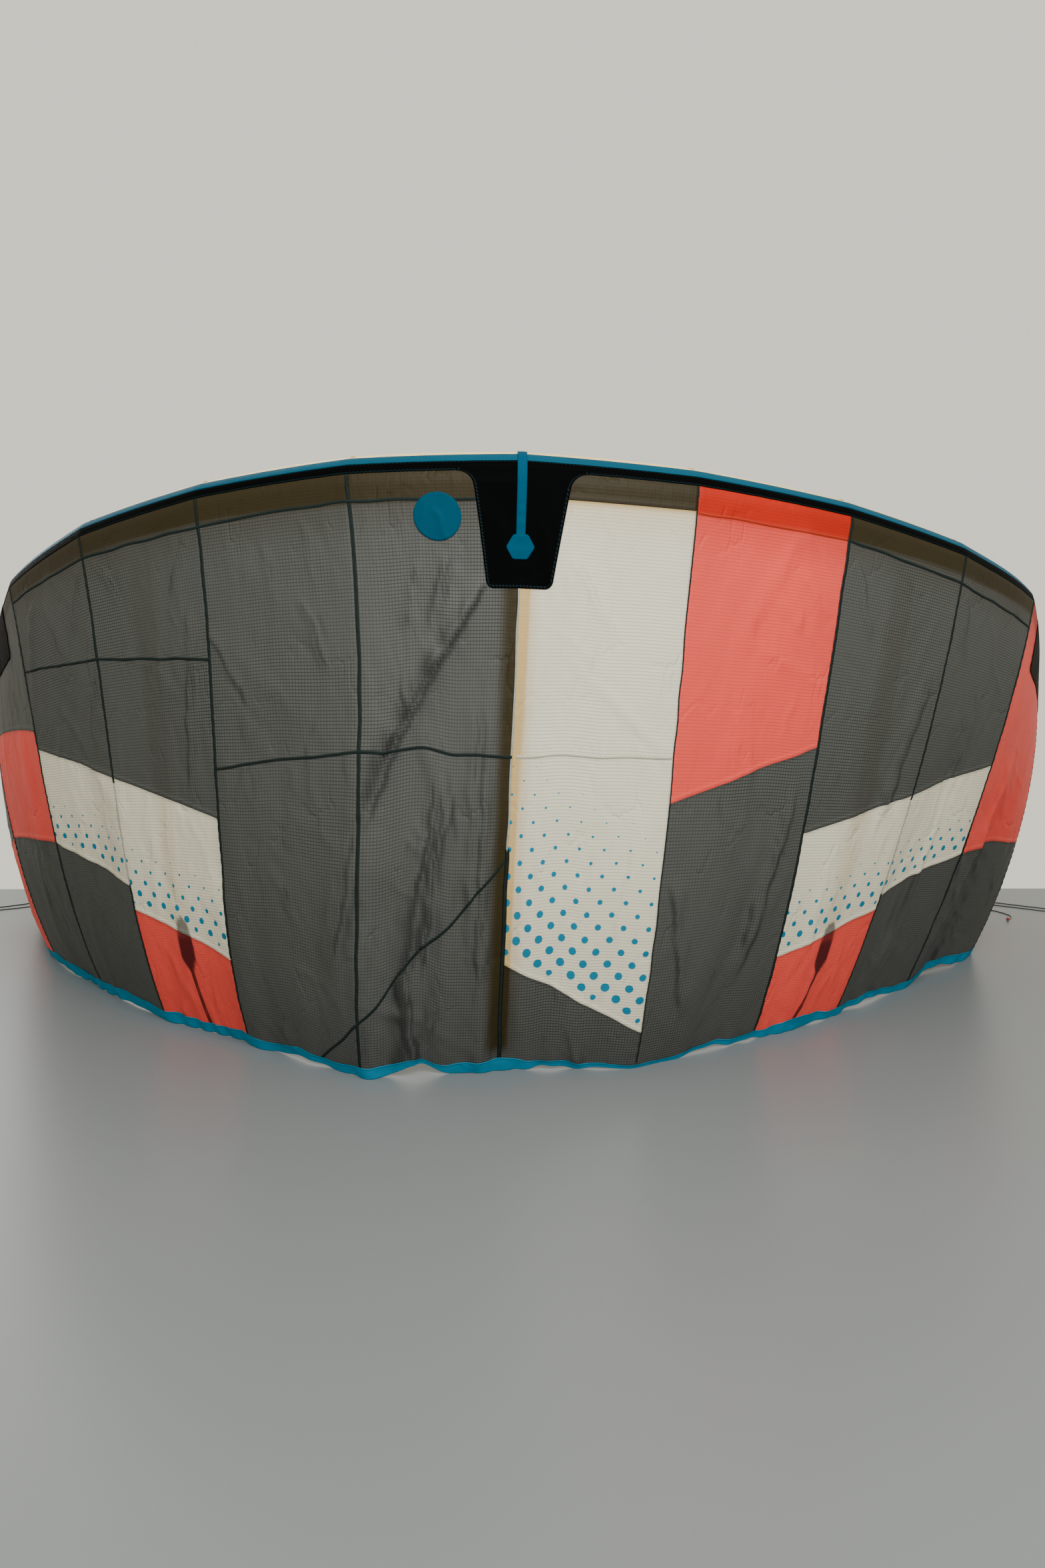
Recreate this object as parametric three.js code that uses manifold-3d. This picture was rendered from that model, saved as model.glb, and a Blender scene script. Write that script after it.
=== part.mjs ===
// A kitesurfing kite of nine square metres that stands on its trailing edge. Millimetres, +Z up.
// Left and right are as seen from the outer (upper) side of the cloth; +Y points away from that side.
// The cloth hangs between an air-filled leading-edge tube on top and the blue-bound edge on the ground.
import * as THREE from "three";
import { mergeVertices } from "three/addons/utils/BufferGeometryUtils.js";
import Module from "manifold-3d";

const wasm = await Module();
wasm.setup();

// ---------- driving dimensions ----------

const clothThickness = 1.2;
const fit = 0.35; // clearance between sewn neighbours
const looseFit = 1.0; // clearance of a piece whose facets don't follow the cloth's own
const tapeGap = 0.02; // clearance between piping and band, in rows of facets
const strutFit = 2.2; // of struts and webbing, which pass under several of the cloth's facets
const tapeThickness = 1.0;
const hemHeight = 23; // height of the folded binding
const bindingFloor = 1.0; // thickness of the binding under the cloth's edge
const bindingWall = 1.0;
const lastStation = 7; // seams are numbered -7 (left tip) to 7 (right tip), 0 is the centre seam

const tubeRadiusCentre = 95;
const tubeRadiusTip = 38;
const tubeTaperPower = 1.3;

// Angles round the tube, in degrees above its outward side. The cloth touches it at the wrap angles,
// and the rest of the ring closes the tube behind.
const wrapAngles = [70, 47.5, 25, 2.5];
const backAngles = [-29, -60.5, -92, -123.5, -155, -186.5, -218, -249.5];
const edgeLean = 22; // degrees by which the cloth leans over where it reaches the ground
const dropRows = 11; // rows of facets between the tube and the ground

// One row per seam: centre of the tube, ground point of the edge, how far the seam strays sideways at
// mid chord (in gore widths), and the columns of facets in the gore that starts at this seam.
const seamColumns = ["seam", "tubeX", "tubeY", "tubeZ", "edgeX", "edgeY", "sway", "columns"];
const seamRows = [
  ["left tip", -1844, 1038, 380, -1914, 1048, 0, 3],
  ["left F", -1924, 628, 695, -1909, 643, 0, 4],
  ["left E", -1799, 148, 1070, -1664, 103, 0, 4],
  ["left D", -1579, -212, 1350, -1404, -212, 0.02, 4],
  ["left C", -1269, -477, 1495, -1109, -502, 0, 6],
  ["left A", -884, -687, 1585, -809, -699, 0, 5],
  ["left B", -466, -832, 1635, -459, -960, 0.06, 6],
  ["centre", -19, -856, 1647, -69, -917, 0, 6],
  ["right B", 441, -830, 1618, 328, -904, 0, 5],
  ["right A", 901, -684, 1560, 728, -691, 0, 6],
  ["right C", 1318, -489, 1470, 1046, -496, 0.03, 4],
  ["right D", 1654, -250, 1343, 1364, -214, -0.02, 4],
  ["right E", 1886, 143, 1040, 1761, 143, 0, 4],
  ["right F", 1916, 603, 695, 1876, 628, 0, 3],
  ["right tip", 1766, 1038, 380, 1836, 1048, 0, 0],
];
const seams = seamRows.map((row) => Object.fromEntries(seamColumns.map((key, i) => [key, row[i]])));

// Standing folds: a soft ridge (height above 0) or trough along a line on the cloth, from one place to
// another, each place given as a station and a share of the way down.
const foldColumns = ["fromStation", "fromShare", "toStation", "toShare", "halfWidth", "height"];
const foldRows = [
  [-0.25, 0.16, -1.0, 0.62, 60, 12],
  [-0.5, 0.48, -0.62, 1.0, 48, 15],
  [-0.82, 0.6, -0.86, 1.0, 60, -12],
  [-0.22, 0.4, -0.14, 1.0, 45, 7],
  [-1.5, 0.3, -1.4, 0.9, 70, -9],
  [-2.1, 0.62, -1.95, 1.0, 60, 10],
  [-3.4, 0.2, -3.3, 0.85, 70, -8],
  [-4.3, 0.25, -4.25, 0.9, 60, 9],
  [0.55, 0.25, 0.6, 0.95, 80, -8],
  [1.45, 0.2, 1.5, 0.9, 70, 7],
  [3.45, 0.3, 3.4, 0.9, 60, -9],
  [4.5, 0.4, 4.35, 1.0, 55, -16],
  [4.15, 0.5, 4.05, 1.0, 55, 12],
];
const folds = foldRows.map((row) => Object.fromEntries(foldColumns.map((key, i) => [key, row[i]])));
const foldTaper = 0.22; // share of a fold's length over which each end fades

// Typical width of a gore and length of the cloth from tube to ground. They turn stations and shares
// into millimetres.
const goreWidth = 460;
const chordLength = 1600;

// Where the edge lifts off the ground: station, half width in stations, height.
const liftColumns = ["station", "half", "height"];
const liftRows = [
  [-4.8, 0.4, 6],
  [-3.5, 0.35, 5],
  [-1.5, 0.3, 10],
  [-0.6, 0.27, 24],
  [0.5, 0.28, 7],
  [1.6, 0.3, 9],
  [3.5, 0.45, 13],
  [4.55, 0.3, 17],
];
const lifts = liftRows.map((row) => Object.fromEntries(liftColumns.map((key, i) => [key, row[i]])));

const strutFirstRow = 0.5; // rows of facets below the tube at which a strut's hidden start lies
// Struts: name, station, top and bottom radius, and the shares of the way down where the air tube, the
// dark cap and the webbing end. The centre strut has a plain end and neither cap nor webbing.
const strutColumns = ["side", "station", "topRadius", "endRadius", "tubeEnd", "capEnd"];
const strutRows = [
  ["left", -2.5, 50, 36, 0.75, 0.845],
  ["centre", 0, 54, 40, 0.955, null],
  ["right", 2.5, 50, 36, 0.76, 0.855],
];
const struts = strutRows.map((row) => Object.fromEntries(strutColumns.map((key, i) => [key, row[i]])));

const webbingWidth = 8;
const tailPatch = { width: 45, bottom: 6, top: 42 };
const strap = { width: 24, thickness: 1.5 };
const pad = { acrossCorners: 76, thickness: 2, share: 0.1 };
const lineDiameter = 4;
const knotRadius = 7;

// ---------- colours ----------

const finish = (color, roughness) => new THREE.MeshStandardMaterial({ color, roughness, metalness: 0 });
const materials = {
  cream: finish(0xe3d3a4, 0.55),
  grey: finish(0x57564f, 0.6),
  white: finish(0xd8d3c8, 0.6),
  coral: finish(0xe8564f, 0.6),
  blue: finish(0x0080ae, 0.5),
  black: finish(0x14171a, 0.7),
  red: finish(0xb02020, 0.6),
};

// ---------- the surface of the kite ----------

const spline = (point) => new THREE.CatmullRomCurve3(seams.map(point), false, "catmullrom", 0.5);
const tubeCurve = spline((row) => new THREE.Vector3(row.tubeX, row.tubeY, row.tubeZ));
const edgeCurve = spline((row) => new THREE.Vector3(row.edgeX, row.edgeY, row.sway));

const radians = THREE.MathUtils.degToRad;
const share = (station) => THREE.MathUtils.clamp((station + lastStation) / (2 * lastStation), 0, 1);
const mix = (a, b, t) => a + (b - a) * t;

function tubeRadius(station) {
  const outward = Math.abs(station) / lastStation;
  return tubeRadiusCentre - (tubeRadiusCentre - tubeRadiusTip) * outward ** tubeTaperPower;
}

// The tube's centre and directions at a station: along the tube, outward (level) and upward.
function tubeFrame(station) {
  const centre = tubeCurve.getPoint(share(station));
  const along = tubeCurve.getTangent(share(station));
  const outward = new THREE.Vector3(along.y, -along.x, 0).normalize();
  const upward = new THREE.Vector3().crossVectors(outward, along);
  return { centre, along, outward, upward };
}

function aroundTube(station, angle, radius) {
  const { centre, outward, upward } = tubeFrame(station);
  const turn = radians(angle);
  return centre
    .addScaledVector(outward, radius * Math.cos(turn))
    .addScaledVector(upward, radius * Math.sin(turn));
}

// How high the cloth's edge stands off the ground: a raised cosine at each lifted stretch.
function edgeLift(station) {
  let height = 0;
  for (const lift of lifts) {
    const distance = Math.min(Math.abs(station - lift.station) / lift.half, 1);
    height += lift.height * Math.cos((distance * Math.PI) / 2) ** 2;
  }
  return height;
}

// The folds' height at a place: a bell across each fold's line, faded at both ends of it.
function foldHeight(station, down) {
  let height = 0;
  for (const fold of folds) {
    const from = new THREE.Vector2(fold.fromStation * goreWidth, fold.fromShare * chordLength);
    const to = new THREE.Vector2(fold.toStation * goreWidth, fold.toShare * chordLength);
    const line = to.clone().sub(from);
    const here = new THREE.Vector2(station * goreWidth, down * chordLength).sub(from);
    const progress = here.dot(line) / line.lengthSq();
    const across = here.cross(line) / line.length() / fold.halfWidth;
    const start = THREE.MathUtils.smoothstep(progress, 0, foldTaper);
    const end = fold.toShare === 1 ? 1 : 1 - THREE.MathUtils.smoothstep(progress, 1 - foldTaper, 1);
    height += fold.height * Math.exp(-across * across) * start * end;
  }
  return height;
}

// The cloth's inner face. "down" is -3 to 0 over the wrap angles, and 0 to 1 from the tube to the
// ground, where a cubic curve leaves the tube straight and leans over by edgeLean at the edge.
function innerFace(station, down) {
  const radius = tubeRadius(station) + fit;
  const lowest = wrapAngles.length - 1;
  if (down <= 0) {
    const row = Math.min(lowest + down, lowest);
    const from = Math.floor(row);
    const to = Math.min(from + 1, lowest);
    return aroundTube(station, mix(wrapAngles[from], wrapAngles[to], row - from), radius);
  }
  const { outward, upward } = tubeFrame(station);
  const sway = edgeCurve.getPoint(share(station)).z * Math.sin(Math.PI * down);
  const strayed = THREE.MathUtils.clamp(station + sway, -lastStation, lastStation);
  const leave = radians(wrapAngles[lowest]);
  const start = aroundTube(strayed, wrapAngles[lowest], radius);
  const end = edgeCurve.getPoint(share(strayed));
  end.z = bindingFloor + fit + edgeLift(strayed);
  const chord = start.distanceTo(end);
  const leaving = outward.clone().multiplyScalar(chord * Math.sin(leave));
  leaving.addScaledVector(upward, -chord * Math.cos(leave));
  const arriving = outward.clone().multiplyScalar(-chord * Math.sin(radians(edgeLean)));
  arriving.z = -chord * Math.cos(radians(edgeLean));
  const point = new THREE.Vector3()
    .addScaledVector(start, 2 * down ** 3 - 3 * down ** 2 + 1)
    .addScaledVector(leaving, down ** 3 - 2 * down ** 2 + down)
    .addScaledVector(end, -2 * down ** 3 + 3 * down ** 2)
    .addScaledVector(arriving, down ** 3 - down ** 2);
  return point.addScaledVector(outward, foldHeight(strayed, down));
}

// Unit vector out of the cloth, from the slopes across and down its surface.
function normalAt(station, down) {
  const step = 0.004;
  if (down <= 0) {
    const onTube = innerFace(station, down);
    const { centre, along } = tubeFrame(station);
    onTube.sub(centre);
    return onTube.addScaledVector(along, -onTube.dot(along)).normalize();
  }
  const left = innerFace(Math.max(station - step, -lastStation), down);
  const right = innerFace(Math.min(station + step, lastStation), down);
  const above = innerFace(station, Math.max(down - step, 0));
  const below = innerFace(station, Math.min(down + step, 1));
  return new THREE.Vector3().crossVectors(below.sub(above), right.sub(left)).normalize();
}

function clothPoint(station, down, offset) {
  return innerFace(station, down).addScaledVector(normalAt(station, down), offset);
}

// Share of the way down at which the cloth is a given height above its own edge.
function shareAtHeight(station, height) {
  const start = aroundTube(station, wrapAngles.at(-1), tubeRadius(station));
  const chord = start.distanceTo(edgeCurve.getPoint(share(station)));
  return 1 - height / (chord * Math.cos(radians(edgeLean)));
}

// ---------- lofting ----------

// A closed solid through rings of points. Each ring is one loop; the edges in "reversed" run up the
// cloth, so their facets take the other diagonal and lie parallel to the cloth's.
function loft(rings, capFaces, reversed = () => false) {
  const size = rings[0].length;
  const positions = rings.flat().flatMap((point) => point.toArray());
  const indices = [];
  for (let ring = 0; ring < rings.length - 1; ring += 1) {
    for (let i = 0; i < size; i += 1) {
      const next = (i + 1) % size;
      const [a, b] = [ring * size + i, ring * size + next];
      const [c, d] = [a + size, b + size];
      if (reversed(i)) indices.push(a, b, c, b, d, c);
      else indices.push(a, b, d, a, d, c);
    }
  }
  const lastRing = (rings.length - 1) * size;
  for (const [i, j, k] of capFaces) {
    indices.push(i, k, j, lastRing + i, lastRing + j, lastRing + k);
  }
  const geometry = new THREE.BufferGeometry();
  geometry.setAttribute("position", new THREE.Float32BufferAttribute(positions, 3));
  geometry.setIndex(indices);
  return facingOut(geometry);
}

// Turns every facet over if the solid's signed volume is negative.
function facingOut(geometry) {
  const at = geometry.attributes.position;
  const index = geometry.index.array;
  const [a, b, c] = [new THREE.Vector3(), new THREE.Vector3(), new THREE.Vector3()];
  let volume = 0;
  for (let i = 0; i < index.length; i += 3) {
    a.fromBufferAttribute(at, index[i]);
    b.fromBufferAttribute(at, index[i + 1]);
    c.fromBufferAttribute(at, index[i + 2]);
    volume += a.dot(b.cross(c));
  }
  if (volume < 0) {
    for (let i = 0; i < index.length; i += 3) {
      [index[i + 1], index[i + 2]] = [index[i + 2], index[i + 1]];
    }
  }
  geometry.computeVertexNormals();
  return geometry;
}

// Fan of facets over a convex ring.
const fan = (size) => Array.from({ length: size - 2 }, (_, i) => [0, i + 1, i + 2]);

// Facets over the ring of a thin strip: down one face in "rows" points and back up the other.
function stripFaces(rows) {
  const faces = [];
  for (let i = 0; i < rows - 1; i += 1) {
    const back = 2 * rows - 1 - i;
    faces.push([i, i + 1, back - 1], [i, back - 1, back]);
  }
  return faces;
}

// A sheet that follows the cloth between two offsets from its inner face. "rowsAt" gives the shares
// of the way down at a station.
function sheet(stations, rowsAt, near, far) {
  const rings = stations.map((station) => {
    const rows = rowsAt(station);
    const front = rows.map((down) => clothPoint(station, down, far));
    const back = rows.map((down) => clothPoint(station, down, near)).reverse();
    return [...front, ...back];
  });
  const rows = rings[0].length / 2;
  return loft(rings, stripFaces(rows), (i) => i >= rows && i < 2 * rows - 1);
}

const steps = (from, to, count) => Array.from({ length: count + 1 }, (_, i) => mix(from, to, i / count));

// The columns of facets from one seam to another, drawn in by half a clearance at both ends.
function stationsBetween(from, to) {
  const stations = [from];
  for (let seam = from; seam < to; seam += 1) {
    const count = seams[seam + lastStation].columns;
    stations.push(...steps(seam, seam + 1, count).slice(1));
  }
  const inset = fit / 2 / goreWidth;
  stations[0] += inset;
  stations[stations.length - 1] -= inset;
  return stations;
}

// ---------- pieces ----------

const kite = new THREE.Group();

function add(name, geometry, material) {
  const mesh = new THREE.Mesh(geometry, material);
  mesh.name = name;
  kite.add(mesh);
  return mesh;
}

const sideName = (station) => (station < 0 ? "left" : "right");
const goreName = (from) => `${sideName(from)}_${from < 0 ? -from : from + 1}`;

// Leading-edge tube: one curved length per gore, twelve-sided.
function tubeRings(stations, growth) {
  const angles = [...wrapAngles, ...backAngles];
  return stations.map((station) =>
    angles.map((angle) => aroundTube(station, angle, tubeRadius(station) + growth)),
  );
}

// Canopy: one gore per pair of seams. Its last row starts where the binding does.
function goreRows(station) {
  const wrap = wrapAngles.map((_, i) => i - (wrapAngles.length - 1));
  const drop = steps(0, 1, dropRows).slice(1, -1);
  const hem = shareAtHeight(station, hemHeight - bindingFloor - fit);
  return [...wrap, ...drop, Math.max(hem, mix(drop.at(-1), 1, 0.4)), 1];
}

const goreColours = {
  left_7: "white",
  left_6: "grey",
  left_5: "coral",
  left_4: "grey",
  left_3: "white",
  left_2: "grey",
  left_1: "grey",
  right_1: "white",
  right_2: "coral",
  right_3: "grey",
  right_4: "white",
  right_5: "coral",
  right_6: "grey",
  right_7: "white",
};

for (let from = -lastStation; from < lastStation; from += 1) {
  const stations = stationsBetween(from, from + 1);
  const name = goreName(from);
  const ring = wrapAngles.length + backAngles.length;
  add(`leading_edge_tube_${name}`, loft(tubeRings(stations, 0), fan(ring)), materials.cream);
  add(`canopy_gore_${name}`, sheet(stations, goreRows, 0, clothThickness), materials[goreColours[name]]);
}

// Edge binding: a tape folded round the cloth's lower edge, level underneath. The ring goes round a
// U: up the outer wall, down into the fold, up again and down the inner wall.
function bindingRing(station) {
  const half = clothThickness / 2;
  const edge = clothPoint(station, 1, half);
  const above = clothPoint(station, goreRows(station).at(-2), half);
  const rise = above.clone().sub(edge);
  rise.divideScalar(rise.z);
  const normal = normalAt(station, 1);
  const levelSquared = normal.x ** 2 + normal.y ** 2;
  const outward = new THREE.Vector3(normal.x / levelSquared, normal.y / levelSquared, 0);
  const sole = edge.z - bindingFloor - fit;
  const bottom = edgeLift(station);
  const top = above.z - sole;
  const at = (height, offset) => {
    const point = edge.clone().addScaledVector(rise, height + sole - edge.z);
    point.addScaledVector(outward, offset);
    if (height === 0) point.z = bottom;
    return point;
  };
  const groove = half + fit;
  const wall = groove + bindingWall;
  return [
    at(0, wall), at(top, wall), at(top, groove), at(bindingFloor, groove),
    at(bindingFloor, -groove), at(top, -groove), at(top, -wall), at(0, -wall),
  ];
}
const bindingCaps = [[0, 1, 2], [0, 2, 3], [0, 3, 4], [0, 4, 7], [4, 5, 6], [4, 6, 7]];
const runsUp = (i) => i === 0 || i === 4;

const bindingEnds = [-7, -5, -3, -1, 1, 3, 5, 7];
const bindingNames = [
  "left_tip", "left_outer", "left_inner", "centre", "right_inner", "right_outer", "right_tip",
];
bindingNames.forEach((name, i) => {
  const rings = stationsBetween(bindingEnds[i], bindingEnds[i + 1]).map(bindingRing);
  add(`edge_binding_${name}`, loft(rings, bindingCaps, runsUp), materials.blue);
});

// Leading-edge tapes: blue piping over the first wrap row, black band over the second.
const tapeNear = clothThickness + fit;
const tapeFar = tapeNear + tapeThickness;
for (const [from, to] of [[-lastStation, 0], [0, lastStation]]) {
  const side = sideName(from);
  const stations = stationsBetween(from, to);
  const piping = () => [-3, -2 - tapeGap / 2];
  const band = () => [-2 + tapeGap / 2, -1];
  add(`leading_edge_piping_${side}`, sheet(stations, piping, tapeNear, tapeFar), materials.blue);
  add(`leading_edge_band_${side}`, sheet(stations, band, tapeNear, tapeFar), materials.black);
}

// Bridle patches: black reinforcement on the leading edge near seam E.
const patchColumns = [4.25, 4.5, 4.75, 5, 5.25];
const patchRows = () => [-0.97, 0, 1 / dropRows, 2 / dropRows];
add("bridle_patch_right", sheet(patchColumns, patchRows, tapeNear, tapeFar), materials.black);
const mirroredColumns = patchColumns.map((station) => -station).reverse();
add("bridle_patch_left", sheet(mirroredColumns, patchRows, tapeNear, tapeFar), materials.black);

// Centre patch: flared at the top, narrower below. Its sides are a table of half widths in stations.
const centrePatchRows = [-0.97, 0, 1 / dropRows, 1.9 / dropRows];
const centrePatchHalves = [0.37, 0.31, 0.26, 0.21];
const centreNear = clothThickness + looseFit;
function centrePatch() {
  const rings = steps(-1, 1, 6).map((across) => {
    const point = (offset) => (down, i) => clothPoint(across * centrePatchHalves[i], down, offset);
    const front = centrePatchRows.map(point(centreNear + tapeThickness));
    const back = centrePatchRows.map(point(centreNear)).reverse();
    return [...front, ...back];
  });
  const rows = centrePatchRows.length;
  return loft(rings, stripFaces(rows), (i) => i >= rows && i < 2 * rows - 1);
}
add("centre_patch", centrePatch(), materials.black);

// Pull strap over band and patch, and the six-sided pad in which it ends.
const strapNear = centreNear + tapeThickness + 2 * fit;
const halfStrap = strap.width / 2 / goreWidth;
const padHalfHeight = (pad.acrossCorners / 2) * Math.cos(radians(30));
const strapEnd = pad.share - (padHalfHeight + fit) / chordLength;
const strapRows = () => [-3, -2, -1, 0, strapEnd];
const strapGeometry = sheet([-halfStrap, 0, halfStrap], strapRows, strapNear, strapNear + strap.thickness);
add("pull_strap", strapGeometry, materials.blue);

function hexagonPad() {
  const centre = clothPoint(0, pad.share, strapNear + fit);
  const normal = normalAt(0, pad.share);
  const across = tubeFrame(0).along;
  const upward = new THREE.Vector3().crossVectors(normal, across).normalize();
  const level = new THREE.Vector3().crossVectors(upward, normal);
  const rings = [0, pad.thickness].map((offset) =>
    Array.from({ length: 6 }, (_, i) =>
      centre
        .clone()
        .addScaledVector(normal, offset)
        .addScaledVector(level, (pad.acrossCorners / 2) * Math.cos(radians(60 * i)))
        .addScaledVector(upward, (pad.acrossCorners / 2) * Math.sin(radians(60 * i))),
    ),
  );
  return loft(rings, fan(6));
}
add("strap_pad", hexagonPad(), materials.blue);

// ---------- struts ----------

const strutSides = 12;

// A ring round a strut's centre line, with one corner towards the cloth it lies against.
function strutRing(station, down, radius) {
  const normal = normalAt(station, down);
  const centre = clothPoint(station, down, -strutFit - radius);
  const step = 0.01;
  const line = clothPoint(station, down + step, -radius).sub(clothPoint(station, down - step, -radius));
  const side = new THREE.Vector3().crossVectors(normal, line).normalize();
  return Array.from({ length: strutSides }, (_, i) => {
    const turn = (2 * Math.PI * i) / strutSides;
    return centre
      .clone()
      .addScaledVector(normal, radius * Math.cos(turn))
      .addScaledVector(side, radius * Math.sin(turn));
  });
}

function asManifold(geometry) {
  const plain = geometry.clone();
  plain.deleteAttribute("normal");
  const merged = mergeVertices(plain);
  return new wasm.Manifold(
    new wasm.Mesh({
      numProp: 3,
      vertProperties: new Float32Array(merged.attributes.position.array),
      triVerts: new Uint32Array(merged.index.array),
    }),
  );
}

function subtract(geometry, tool) {
  const mesh = asManifold(geometry).subtract(asManifold(tool)).getMesh();
  const result = new THREE.BufferGeometry();
  result.setAttribute("position", new THREE.Float32BufferAttribute(mesh.vertProperties, 3));
  result.setIndex([...mesh.triVerts]);
  result.computeVertexNormals();
  return result;
}

// The strut's top is cut to the tube it is sewn against. The centre strut straddles two tube lengths.
for (const strut of struts) {
  const rows = [strutFirstRow / dropRows];
  for (let row = 1; row / dropRows < strut.tubeEnd - strutFirstRow / dropRows; row += 1) {
    rows.push(row / dropRows);
  }
  rows.push(strut.tubeEnd);
  const radiusAt = (down) => mix(strut.topRadius, strut.endRadius, down / strut.tubeEnd);
  const tube = loft(rows.map((down) => strutRing(strut.station, down, radiusAt(down))), fan(strutSides));
  const seat = loft(
    tubeRings(steps(strut.station - 0.5, strut.station + 0.5, 6), fit),
    fan(wrapAngles.length + backAngles.length),
  );
  add(`strut_${strut.side}`, subtract(tube, seat), materials.cream);
  if (strut.capEnd === null) continue;

  // Dark cap, rounded off towards the webbing that ties it to the edge.
  const capShares = [0, 0.4, 0.75, 1];
  const capRadii = [0.98, 0.94, 0.7, 0.36];
  const capStart = strut.tubeEnd + fit / chordLength;
  const capRings = capShares.map((along, i) =>
    strutRing(strut.station, mix(capStart, strut.capEnd, along), strut.endRadius * capRadii[i]),
  );
  add(`strut_cap_${strut.side}`, loft(capRings, fan(strutSides)), materials.black);

  const halfWebbing = webbingWidth / 2 / goreWidth;
  const webbingStations = [-halfWebbing, 0, halfWebbing].map((offset) => strut.station + offset);
  const webbingRows = (station) => {
    const start = strut.capEnd + 2 * fit / chordLength;
    const end = shareAtHeight(station, tailPatch.top + fit);
    return [start, (dropRows - 1) / dropRows, end];
  };
  add(
    `tail_webbing_${strut.side}`,
    sheet(webbingStations, webbingRows, -strutFit - tapeThickness, -strutFit),
    materials.black,
  );

  const halfPatch = tailPatch.width / 2 / goreWidth;
  const tailStations = [-halfPatch, 0, halfPatch].map((offset) => strut.station + offset);
  const tailRows = (station) => {
    const hem = goreRows(station).at(-2);
    return [shareAtHeight(station, tailPatch.top), hem, shareAtHeight(station, tailPatch.bottom)];
  };
  const tailFar = -(2 * fit + bindingWall + looseFit / 2);
  add(
    `tail_patch_${strut.side}`,
    sheet(tailStations, tailRows, tailFar - tapeThickness, tailFar),
    materials.black,
  );
}

// ---------- origin: under the middle of the kite, without its lines ----------

const middle = new THREE.Box3().setFromObject(kite).getCenter(new THREE.Vector3());
kite.position.set(-middle.x, -middle.y, 0);

// ---------- lines on the ground ----------

const onGround = lineDiameter / 2;
const groundFit = 0.02; // how far a line's skin stays above the ground

// A round line through points chosen by hand, each [x, y, z].
function line(points, stepCount) {
  const path = new THREE.CatmullRomCurve3(points.map((point) => new THREE.Vector3(...point)));
  const section = new THREE.Shape();
  section.absarc(0, 0, lineDiameter / 2 - groundFit, 0, 2 * Math.PI);
  const options = { steps: stepCount, curveSegments: 4, extrudePath: path, bevelEnabled: false };
  return new THREE.ExtrudeGeometry(section, options);
}

// A knot on the ground, just clear of the end of the line through these points.
function knot(points) {
  const [previous, last] = points.slice(-2).map((point) => new THREE.Vector3(...point));
  const onward = last.clone().sub(previous).setLength(knotRadius - fit);
  const geometry = new THREE.SphereGeometry(knotRadius, 8, 6);
  geometry.translate(last.x + onward.x, last.y + onward.y, knotRadius);
  return geometry;
}

// Bridle line: drops from the tube's tip to the ground, passes round the corner of the cloth, runs out
// sideways, turns and comes back to the corner. A short tip line with a red knot lies beside it.
const rightBridle = [
  [1731.8, 1021.8, 382.8], [1722.4, 1018.5, 382], [1715, 1016, 376], [1711, 1014.6, 366],
  [1709.3, 1014, 350], [1708.5, 1013.8, 300], [1708.8, 1014.5, 200], [1709.5, 1016, 100],
  [1711, 1021, 40], [1715, 1031, 13], [1724, 1048, 3.6], [1741, 1080, onGround],
  [1776, 1113, onGround], [1831, 1126, onGround], [1901, 1113, onGround], [1991, 1070, onGround],
  [2101, 1008, onGround], [2231, 934, onGround], [2341, 870, onGround], [2421, 826, onGround],
  [2476, 790, onGround], [2489, 764, onGround], [2467, 754, onGround], [2401, 782, onGround],
  [2311, 834, onGround], [2211, 890, onGround], [2111, 942, onGround], [2021, 988, onGround],
  [1946, 1026, onGround], [1906, 1050, onGround],
];
const leftBridle = [
  [-1807.9, 1026.9, 383], [-1798.6, 1025.1, 382.2], [-1791.5, 1023.7, 376], [-1787.5, 1023, 366],
  [-1786, 1022.7, 350], [-1785, 1022.6, 300], [-1785, 1022.8, 200], [-1786, 1024, 100],
  [-1788, 1029, 40], [-1792, 1038, 13], [-1800, 1052, 3.6], [-1816, 1080, onGround],
  [-1854, 1108, onGround], [-1904, 1112, onGround], [-1964, 1078, onGround], [-2014, 1012, onGround],
  [-2084, 938, onGround], [-2169, 884, onGround], [-2249, 844, onGround], [-2301, 810, onGround],
  [-2311, 782, onGround], [-2285, 774, onGround], [-2229, 800, onGround], [-2159, 834, onGround],
  [-2079, 874, onGround], [-2014, 920, onGround], [-1979, 963, onGround],
];
const tipLine = [
  [1849.3, 988, onGround], [1896, 966, onGround], [1961, 926, onGround], [2031, 884, onGround],
  [2101, 842, onGround], [2153, 806, onGround], [2177, 774, onGround], [2193, 738, onGround],
  [2197, 706, onGround], [2183, 676, onGround], [2159, 648, onGround],
];
add("bridle_line_right", line(rightBridle, 64), materials.black);
add("bridle_line_left", line(leftBridle, 56), materials.black);
add("tip_line_right", line(tipLine, 28), materials.black);
add("bridle_knot_right", knot(rightBridle), materials.black);
add("bridle_knot_left", knot(leftBridle), materials.black);
add("tip_knot_right", knot(tipLine), materials.red);

export default kite;
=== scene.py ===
"""Looks of the kitesurfing kite: sewn ripstop canopy, air-filled leading edge and struts, lines.

Metres, in the part's own frame: +X to the right as seen from the outer side of the cloth, +Y away
from that side, +Z up. "Station" numbers the radial seams from -7 (left tip) to 7 (right tip), and
"down" is the share of the way from the leading-edge tube (0) to the ground (1); -3 to 0 is the
stretch where the cloth lies on the tube.
"""

import bpy
import numpy as np
from mathutils import Matrix


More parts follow.
